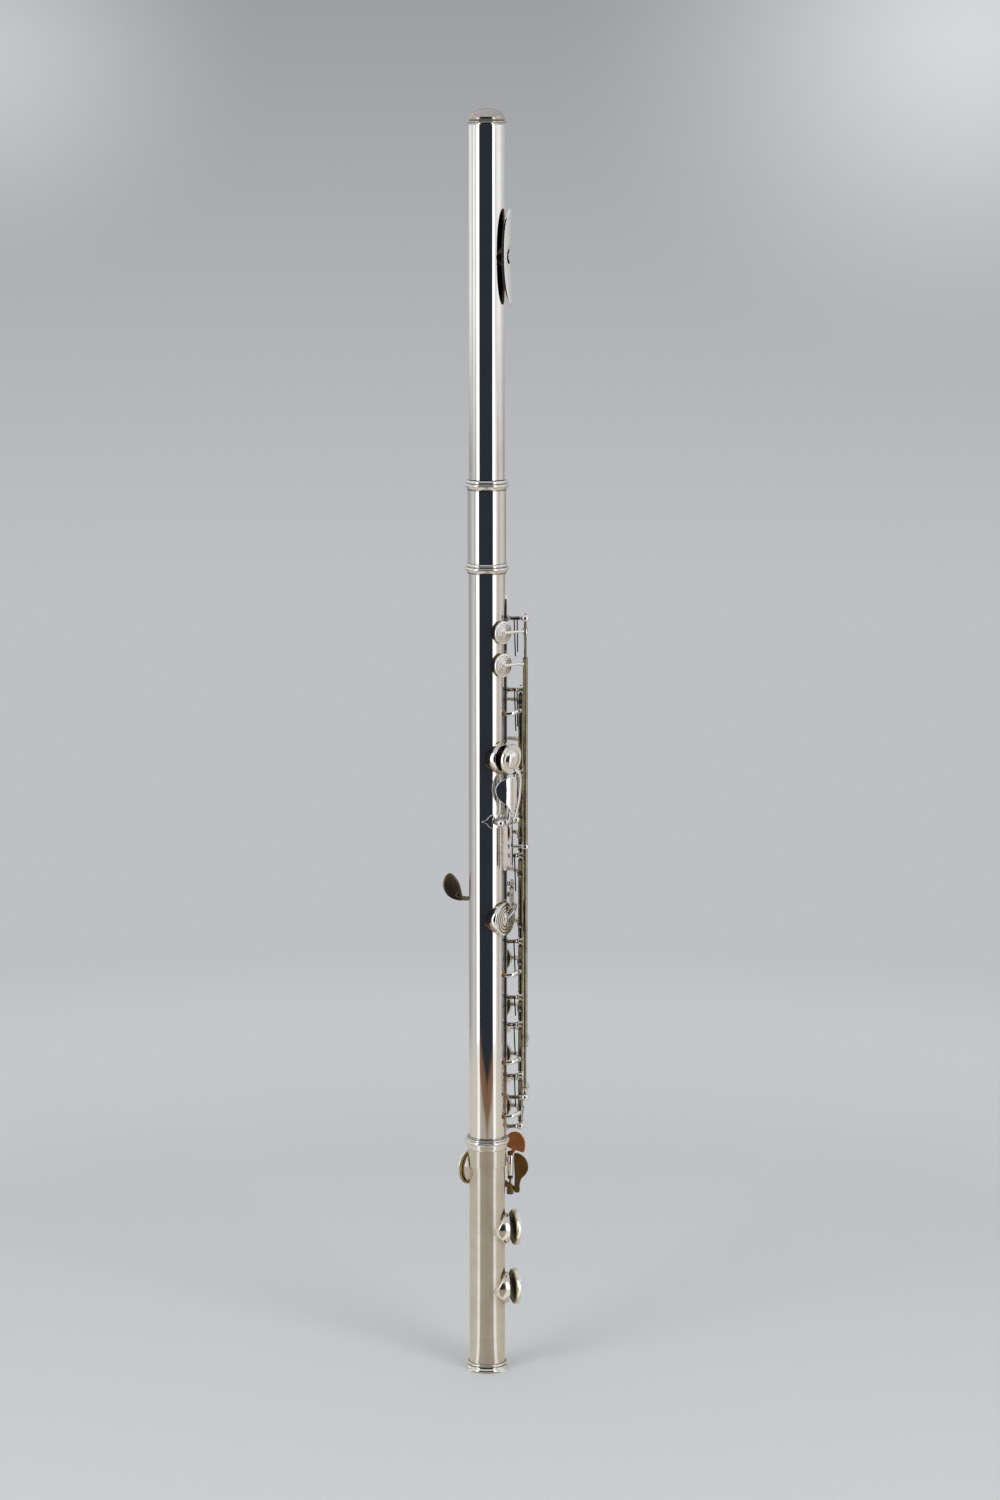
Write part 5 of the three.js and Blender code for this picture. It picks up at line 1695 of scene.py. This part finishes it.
@dataclass
class FootKeys:
    """The little finger's keys: D sharp, low C sharp, and low C with its roller."""

    open: float = 8.5
    roller_x: float = 12.6
    roller_y: float = 8.0

    def touch_plate(self, shape: Shape, outline: Outline, middle: tuple[float, float], y: float) -> None:
        """A flat touch that faces away from the thumb side, bare metal on its back."""

        def mirrored(angle: float) -> tuple[float, float]:
            """The outline as seen from the far side."""
            x, height = outline(angle)
            return -x, height

        centre = (-middle[0], middle[1])
        shape.plate(mirrored, y - 0.5, y + 0.5, spot(180, 0), 84, middle=centre, edge=0.08, under=1)

    def d_sharp(self) -> None:
        """The closed D sharp key."""
        tone = HOLES["d_sharp"]
        shape = Shape()
        tone.add_cup(shape)
        across, out = FOOT_LINE.seen_from(tone.azimuth)
        top = tone.top
        path = [(across, 0, out), (-13.3, 0, 11), (-8, 0, top + 0.85), (0, 0, top + 0.3)]
        sizes = [(1.3, 0.8), (1.3, 0.8), (1.2, 0.6), (0.35, 0.4)]
        shape.sweep([tone.place @ Vector(p) for p in path], sizes, steps=28)
        arm = [FOOT_LINE.at(108.5), Vector((9, 16, 113)), Vector((14, 13.8, 119.5)), Vector((16, 10.9, 125))]
        shape.sweep(arm, [(1.2, 0.8), (1.2, 0.8), (1.2, 0.8), (1.6, 0.5)], steps=26, finish=1)
        outline = freehand([(9.6, 124.2), (10.0, 127.6), (12.0, 130.6), (15.2, 131.6), (18.2, 130.6),
                            (20.3, 127.6), (21.0, 124.2), (20.6, 120.9), (19.8, 119.6), (16.6, 120.6),
                            (12.6, 122.0)])
        self.touch_plate(shape, outline, (15.6, 125.6), 10.4)
        HARDWARE.hinge_tube(shape, FOOT_LINE, 106.6, 113.4)
        piece(shape, "d_sharp_key_fine", "d_sharp_key", [Finish.KEY, Finish.COPPER], ["d_sharp_key"])
        add_pad(tone.pad_shape(), "d_sharp", "d_sharp_key")

    def opened(self, shape: Shape, tone: ToneHole) -> None:
        """A cup and arm that stand open."""
        new = Shape()
        tone.add_cup(new)
        tone.wrap_arm(new, FOOT_LINE)
        shape.add(new.moved(FOOT_LINE.turn(self.open)))

    def pad(self, name: str, body: str) -> None:
        """The pad of an open cup."""
        add_pad(HOLES[name].pad_shape().moved(FOOT_LINE.turn(self.open)), name, body)

    def low_c_sharp(self) -> None:
        """The open C sharp key with its paddle-shaped touch."""
        shape = Shape()
        self.opened(shape, HOLES["low_c_sharp"])
        arm = [FOOT_LINE.at(101.5), Vector((9, 14.5, 100.5)), Vector((16.4, 9.8, 99))]
        shape.sweep(arm, [(1.2, 0.8), (1.2, 0.8), (1.3, 0.7)], finish=1)
        outline = freehand([(14.9, 97.4), (14.9, 101), (15.0, 107), (14.7, 113), (14.6, 118.6), (15.6, 119.7),
                            (18.2, 119.0), (20.8, 117.0), (22.4, 113.6), (22.5, 110.2), (20.9, 107.0),
                            (18.9, 105.0), (17.9, 101.6), (17.7, 97.4)])
        self.touch_plate(shape, outline, (17.0, 109.5), 9.6)
        HARDWARE.hinge_tube(shape, FOOT_LINE, 76, 103)
        finishes = [Finish.KEY, Finish.BRONZE]
        piece(shape, "low_c_sharp_key_fine", "low_c_sharp_key", finishes, ["low_c_sharp_key"])
        self.pad("low_c_sharp", "low_c_sharp_key")

    def low_c(self) -> None:
        """The lowest key: it turns the whole rod and carries the roller's fork."""
        shape = Shape()
        self.opened(shape, HOLES["low_c"])
        x, y = self.roller_x, self.roller_y
        arm = [FOOT_LINE.at(104.4), Vector((8, 12.8, 103.6)), Vector((x, y + 1, 101.2))]
        shape.sweep(arm, [(1.1, 0.75), (1.1, 0.75), (1.1, 0.7)], finish=1)
        profile: Profile = [(0, 96.9), (1.6, 96.9), (1.95, 97.4), (1.95, 99.6), (1.4, 100.2), (1.1, 101.4)]
        profile += [(1.35, 102.0), (1.35, 102.3), (0, 102.3)]
        shape.turned(profile, Matrix.Translation((x, y, 0)), 24, finish=1, outline=squared(1, 1, 3.0))
        pin: Profile = [(0, 101), (0.6, 101), (0.6, 119.4), (0, 119.4)]
        shape.turned(pin, Matrix.Translation((x, y, 0)), 16, finish=1)
        HARDWARE.hinge_tube(shape, FOOT_LINE, 44.2, 47.2)
        HARDWARE.hinge_tube(shape, FOOT_LINE, 103.4, 105.6)
        HARDWARE.rod(shape, FOOT_LINE, 40, 117)
        piece(shape, "low_c_key_fine", "low_c_key", [Finish.KEY, Finish.BRONZE], ["low_c_key"])
        self.pad("low_c", "low_c_key")

    def roller(self) -> None:
        """The C roller: a polished barrel with dark turned ends."""
        profile: Profile = [(0.75, 105.6), (1.3, 105.6), (1.5, 105.9), (1.5, 107.0), (1.2, 107.2)]
        profile += [(1.45, 107.5), (1.8, 108.0), (1.8, 118.2), (1.45, 118.8), (1.25, 119.1)]
        profile += [(1.5, 119.4), (1.5, 120.6)]
        profile += [(1.2, 121), (0.75, 121)]
        finishes = [1] * 4 + [0] * 4 + [1] * 5 + [1]
        stains = [0.5] * 5 + [0.0] * 4 + [0.5] * 5
        place = Matrix.Translation((self.roller_x, self.roller_y, 0))
        shape = Shape().turned(profile, place, 32, closed=True, finishes=finishes, stains=stains)
        piece(shape, "c_roller_fine", "c_roller", [Finish.KEY, Finish.BRONZE], ["c_roller"])

    def build(self) -> None:
        """Makes the foot's keys."""
        self.d_sharp()
        self.low_c_sharp()
        self.low_c()
        self.roller()


# ----------------------------------------------------------------- springs and screws


@dataclass
class SmallParts:
    """Needle springs, spring catches and pivot screws."""

    wire: float = 0.34
    spring_azimuth: float = 84.0
    main_springs: tuple[tuple[float, float], ...] = (
        (417.0, 396.5), (378.0, 356.0), (333.0, 312.0), (287.5, 268.0), (240.0, 221.0),
        (208.9, 199.0), (193.8, 177.0), (165.1, 148.0))

    def springs(self) -> None:
        """Blued needles from each post to the catch on the key below it."""
        ends = []
        for index, (high, low) in enumerate(self.main_springs):
            reach = 14.6 + 0.25 * (index % 2)
            post, catch = self.spring_azimuth + 9, self.spring_azimuth + 8
            ends.append((polar(post, reach, high), polar(catch, reach + 0.7, low)))
            if index < 3:
                start, end = polar(90, 16.2, high - 0.5), polar(90, 16.5, low + 2.5)
                ends.append((start, end))
        deliver(WIRES.wires("needle_springs", ends, self.wire, Finish.BLUED), "body_joint", [Finish.BLUED])
        foot = [(polar(161, 13.2, 62), polar(160, 13.8, 76.5)), (polar(161, 13.2, 115), polar(160, 13.6, 96))]
        deliver(WIRES.wires("foot_springs", foot, self.wire, Finish.BLUED), "foot_joint", [Finish.BLUED])

    def screws(self) -> None:
        """Slotted screw heads on the outer ends of the hinge lines."""
        body = [MAIN.at(380.35), TRILL.at(419.35), G_LINE.at(273.3)]
        row = ROWS.row("pivot_screws", HARDWARE.screw_head(), body, 20, Finish.ROD)
        deliver(row, "body_joint", [Finish.ROD])

    def build(self) -> None:
        """Makes the springs and screws."""
        self.springs()
        self.screws()


def dress_hidden_nodes() -> None:
    """Gives the CAD nodes that stay, inside the flute, their finishes."""
    finishes = {
        "stopper_cork": Finish.CORK, "stopper_screw": Finish.ROD, "main_steel_left": Finish.ROD,
        "main_steel_right": Finish.ROD, "g_sharp_steel": Finish.ROD, "thumb_steel": Finish.ROD,
    }
    for name, finish in finishes.items():
        node = frame["nodes"][name]
        for slot in node.material_slots:
            slot.material = finish.material()


# -------------------------------------------------------------------------- the studio


@dataclass
class Studio:
    """A pale round studio with two tall soft boxes and an unlit room behind the camera.

    Polished metal mirrors the two near soft boxes and the paper's painted reflections: banded colours with
    painted highlights and, in front, the dark room. The paper ends a little in front of the flute, over a
    brown table.
    """

    camera_distance: float = 2.064
    camera_height: float = 0.6729
    camera_side: float = 0.007
    camera_tilt: float = 9.009
    lens: float = 93.07
    wall: float = 3.6
    cove: float = 1.3
    pale: str = "#DADBDC"
    # Glowing wall colours near, further off and at the top: darker with distance and height, as painted
    # shade.
    near: str = "#CDCFD1"
    far: str = "#BFC0C3"
    top: str = "#9E9FA3"
    # Painted light: the colour, places and reaches of painted pools of light on the glowing wall.
    painted_light_pool: str = "#F9FAFB"
    painted_light_pools: tuple[tuple[float, float, float], ...] = ((-0.76, 0.72, 0.48), (0.70, 0.76, 0.66))
    table: str = "#80604A"
    dark: str = "#2B3038"
    dark_span: tuple[float, float] = (-49.0, 37.0)
    paper_end: float = 0.49
    table_end: float = 0.62
    table_point: float = 0.2
    mirrored_within: float = 1.0
    # Bands that only mirror-like surfaces see, by direction from the flute, low on the wall, high on the wall
    # and on the floor: painted reflections, with painted highlights in the white bands.
    walls: Bands = (
        (-180, "#9A9A98"), (-138, "#A2A2A0"), (-111, "#B2B2B0"), (-91, "#D2D0CE"), (-81, "#C0C0C0"),
        (-76, "#A4A4A8"), (-70, "#F4F4F4"), (52, "#F0EEEC"), (62, "#ECEAE8"), (74, "#B4B0AA"),
        (91, "#D2CCC4"), (111, "#D0CAC2"), (138, "#A49E94"), (180, "#9A9A98"))
    heights: Bands = (
        (-180, "#AEAEAE"), (-138, "#F4F4F0"), (-113, "#EAEAE6"), (-104, "#B8B8BA"), (-98, "#FFFFFD"),
        (-84, "#FFFFFD"), (-76, "#CCCCD0"), (-69, "#F8F8FA"), (52, "#F4F4F6"), (59, "#BCBEC8"),
        (68, "#F8F8F9"), (95, "#F8F8F6"), (111, "#D6D6D6"), (180, "#AEAEAE"))
    painted_floor_reflections: Bands = (
        (-180, "#C4BFB4"), (-66, "#D2CDC3"), (-62, "#FFFFFF"), (-48, "#FFFFFF"), (-44, "#B2ABA0"),
        (0, "#A8A195"), (38, "#B2ABA0"), (41, "#FFFFFF"), (56, "#FFFFFF"), (60, "#D2CCC2"),
        (120, "#C6BFB2"), (180, "#C0B8AA"))

    def camera(self) -> None:
        """The camera, looking slightly down at the flute."""
        data = bpy.data.cameras.new("camera")
        data.lens = self.lens
        data.clip_start, data.clip_end = 0.05, 50.0
        camera = bpy.data.objects.new("camera", data)
        bpy.context.scene.collection.objects.link(camera)
        axis = BENCH.axis * MM
        camera.location = (axis.x + self.camera_side, axis.y - self.camera_distance, self.camera_height)
        camera.rotation_euler = (math.radians(90 - self.camera_tilt), 0, 0)
        bpy.context.scene.camera = camera

    def paper_material(self) -> bpy.types.Material:
        """Lit paper near the flute that turns into a glowing wall with painted light: painted shade further
        off and higher up, and painted pools of light.

        Only mirror-like surfaces see the table, the dark room and the banded colours, which are painted
        reflections with painted highlights in their white bands.
        """
        material, tree = new_material("studio_paper")

        def product(*factors: bpy.types.NodeSocket) -> bpy.types.NodeSocket:
            """The product of a few masks."""
            result = factors[0]
            for factor in factors[1:]:
                settings = {"operation": "MULTIPLY"}
                result = add_node(tree, "ShaderNodeMath", settings, i0=result, i1=factor).outputs[0]
            return result

        def banded(turn: bpy.types.NodeSocket, bands: Bands) -> bpy.types.NodeSocket:
            """A colour that changes with the direction from the flute."""
            node = add_node(tree, "ShaderNodeValToRGB", Fac=turn)
            stops = node.color_ramp.elements
            while len(stops) < len(bands):
                stops.new(1.0)
            for stop, (angle, colour) in zip(stops, bands):
                stop.position = angle / 360 + 0.5
                stop.color = linear(colour)
            return node.outputs["Color"]

        def blend(mask: bpy.types.NodeSocket, first, second) -> bpy.types.NodeSocket:
            """A colour between two others."""
            node = add_node(tree, "ShaderNodeMix", {"data_type": "RGBA"}, i0=mask, i6=first, i7=second)
            return node.outputs[2]

        place = add_node(tree, "ShaderNodeTexCoord").outputs["Object"]
        parts = add_node(tree, "ShaderNodeSeparateXYZ", Vector=place).outputs
        front = add_node(tree, "ShaderNodeMath", {"operation": "MULTIPLY"}, i0=parts["Y"], i1=-1.0).outputs[0]
        around = add_node(tree, "ShaderNodeMath", {"operation": "ARCTAN2"}, i0=parts["X"],
                          i1=front).outputs[0]
        away = add_node(tree, "ShaderNodeVectorMath", {"operation": "LENGTH"}, i0=place).outputs["Value"]
        rays = add_node(tree, "ShaderNodeLightPath").outputs
        glossy = rays["Is Glossy Ray"]
        # Painted shade: the glowing wall darkens further off and towards the top.
        wall = blend(ramp(tree, away, 0.6, 1.1), linear(self.near), linear(self.far))
        wall = blend(ramp(tree, parts["Z"], 0.1, 0.85), wall, linear(self.top))
        # Painted pools of light on the glowing wall, fading out from each given spot.
        for x, z, reach in self.painted_light_pools:
            centre = (x, self.wall, z)
            gap = add_node(tree, "ShaderNodeVectorMath", {"operation": "DISTANCE"}, i0=place, i1=centre)
            near = ramp(tree, gap.outputs["Value"], reach, 0.0)
            wall = blend(product(near, near), wall, linear(self.painted_light_pool))
        turn = add_node(tree, "ShaderNodeMath", {"operation": "MULTIPLY_ADD"}, i0=around,
                        i1=1 / math.tau, i2=0.5).outputs[0]
        # Painted reflections for mirror rays, with painted highlights in the white bands.
        lift = ramp(tree, parts["Z"], 0.25, 0.45)
        mirrored = blend(lift, banded(turn, self.walls), banded(turn, self.heights))
        mirrored = blend(ramp(tree, away, 0.85, 0.7), mirrored, banded(turn, self.painted_floor_reflections))
        wall = blend(glossy, wall, mirrored)
        low, high = (math.radians(angle) for angle in self.dark_span)
        soft = math.radians(2)
        ahead = product(ramp(tree, around, low - soft, low + soft),
                        ramp(tree, around, high + soft, high - soft))
        swing = add_node(tree, "ShaderNodeMath", {"operation": "ABSOLUTE"}, i0=around).outputs[0]
        reach = add_node(tree, "ShaderNodeMath", {"operation": "MULTIPLY_ADD"}, i0=swing,
                         i1=-self.table_point, i2=away).outputs[0]
        on_table = product(ramp(tree, reach, self.paper_end, self.paper_end + 0.06), ahead, glossy,
                           ramp(tree, parts["Z"], 0.12, 0.02))
        in_dark = product(ramp(tree, reach, self.table_end, self.table_end + 0.06), ahead, glossy)
        wall = blend(on_table, wall, linear(self.table))
        wall = blend(in_dark, wall, linear(self.dark))
        glow = add_node(tree, "ShaderNodeMath", {"operation": "MAXIMUM"}, i1=glossy,
                        i0=product(ramp(tree, away, 0.45, 0.9), rays["Is Camera Ray"])).outputs[0]
        pale = add_node(tree, "ShaderNodeBsdfDiffuse", Color=linear(self.pale))
        shine = add_node(tree, "ShaderNodeEmission", Color=wall)
        mixed = add_node(tree, "ShaderNodeMixShader", i0=glow, i1=pale.outputs[0], i2=shine.outputs[0])
        add_node(tree, "ShaderNodeOutputMaterial", Surface=mixed.outputs[0])
        return material

    def room(self) -> None:
        """The floor, which curves up into a round wall."""
        profile: Profile = [(0.0, 0.0)]
        for radius in (0.4, 0.8, 1.4, self.wall - self.cove):
            profile.append((radius, 0.0))
        steps = 12
        for k in range(1, steps + 1):
            angle = k / steps * math.pi / 2
            profile.append((self.wall - self.cove * (1 - math.sin(angle)), self.cove * (1 - math.cos(angle))))
        profile.append((self.wall, 3.2))
        mesh = bpy.data.meshes.new("studio_paper")
        sides = 96
        points, faces = [(0.0, 0.0, 0.0)], []
        for radius, height in profile[1:]:
            for k in range(sides):
                c, s = circle(k / sides * math.tau)
                points.append((radius * c, radius * s, height))
        for k in range(sides):
            faces.append((0, 1 + k, 1 + (k + 1) % sides))
        for row in range(len(profile) - 2):
            first = 1 + row * sides
            for k in range(sides):
                n = (k + 1) % sides
                faces.append((first + k, first + sides + k, first + sides + n, first + n))
        mesh.from_pydata(points, [], faces)
        mesh.polygons.foreach_set("use_smooth", [True] * len(faces))
        floor = object_of(mesh)
        floor.data.materials.append(self.paper_material())

    def soft_box(self, name: str, azimuth: float, distance: float, height: float,
                 size: tuple[float, float], radiance: float, aim: float = 0.3) -> None:
        """An area light that faces the flute.

        Args:
            name: the light's name.
            azimuth: where it stands, in degrees.
            distance: how far it is from the flute, in metres.
            height: the height of its middle.
            size: its width and height.
            radiance: how bright it looks; 1 is white.
            aim: the height that it points at.
        """
        data = bpy.data.lights.new(name, "AREA")
        data.shape = "RECTANGLE"
        data.size, data.size_y = size
        data.energy = radiance * math.pi * size[0] * size[1]
        lamp = bpy.data.objects.new(name, data)
        bpy.context.scene.collection.objects.link(lamp)
        lamp.location = outward(azimuth) * distance + UP * height
        direction = Vector((0, 0, aim)) - lamp.location
        lamp.rotation_euler = direction.to_track_quat("-Z", "Y").to_euler()
        lamp.visible_camera = False
        # Far lamps don't show in mirror-like surfaces; the paper's painted reflections stand in for them
        # there.
        lamp.visible_glossy = distance < self.mirrored_within

    def world(self) -> None:
        """A dim even sky over the open top of the studio."""
        world = bpy.data.worlds.new("studio")
        world.use_nodes = True
        bpy.context.scene.world = world
        background = world.node_tree.nodes["Background"]
        background.inputs["Color"].default_value = linear("#DADCDF")
        background.inputs["Strength"].default_value = 1.0

    def build(self) -> None:
        """Sets up the camera, the room and the lights."""
        self.camera()
        self.room()
        self.world()
        self.soft_box("left_key", -40, 1.9, 2.1, (0.9, 0.9), 4.5)
        self.soft_box("right_key", 38, 1.9, 2.1, (0.9, 0.9), 4.5)
        self.soft_box("left_strip", -58.5, 0.8, 0.42, (0.21, 0.84), 1.2, 0.42)
        self.soft_box("right_strip", 46, 0.8, 0.42, (0.22, 0.84), 1.1, 0.42)
        bpy.context.scene.view_settings.view_transform = "Standard"


def main() -> None:
    """Builds the flute's sub-assemblies in order, then the studio."""
    logging.basicConfig(level=logging.INFO, format="%(name)s: %(message)s")
    body_tones = tuple(name for name in HOLES if name not in FOOT_HOLES)
    parts = [
        HeadJoint(), Barrel(),
        HoledTube("body_tube_fine", "body_joint", 121.5, 446.9, body_tones, Finish.TUBE),
        KeyRib(), ThumbSaddle(), *MAIN_KEYS, TrillKeys(), GSharpKey(), ThumbKeys(),
        HoledTube("foot_tube_fine", "foot_joint", 0.0, 121.2, FOOT_HOLES, Finish.FOOT),
        FootJoint(), FootKeys(), SmallParts(), Studio(),
    ]
    for part in parts:
        LOG.info("making %s", type(part).__name__)
        part.build()
    dress_hidden_nodes()


if __name__ == "__main__":
    main()
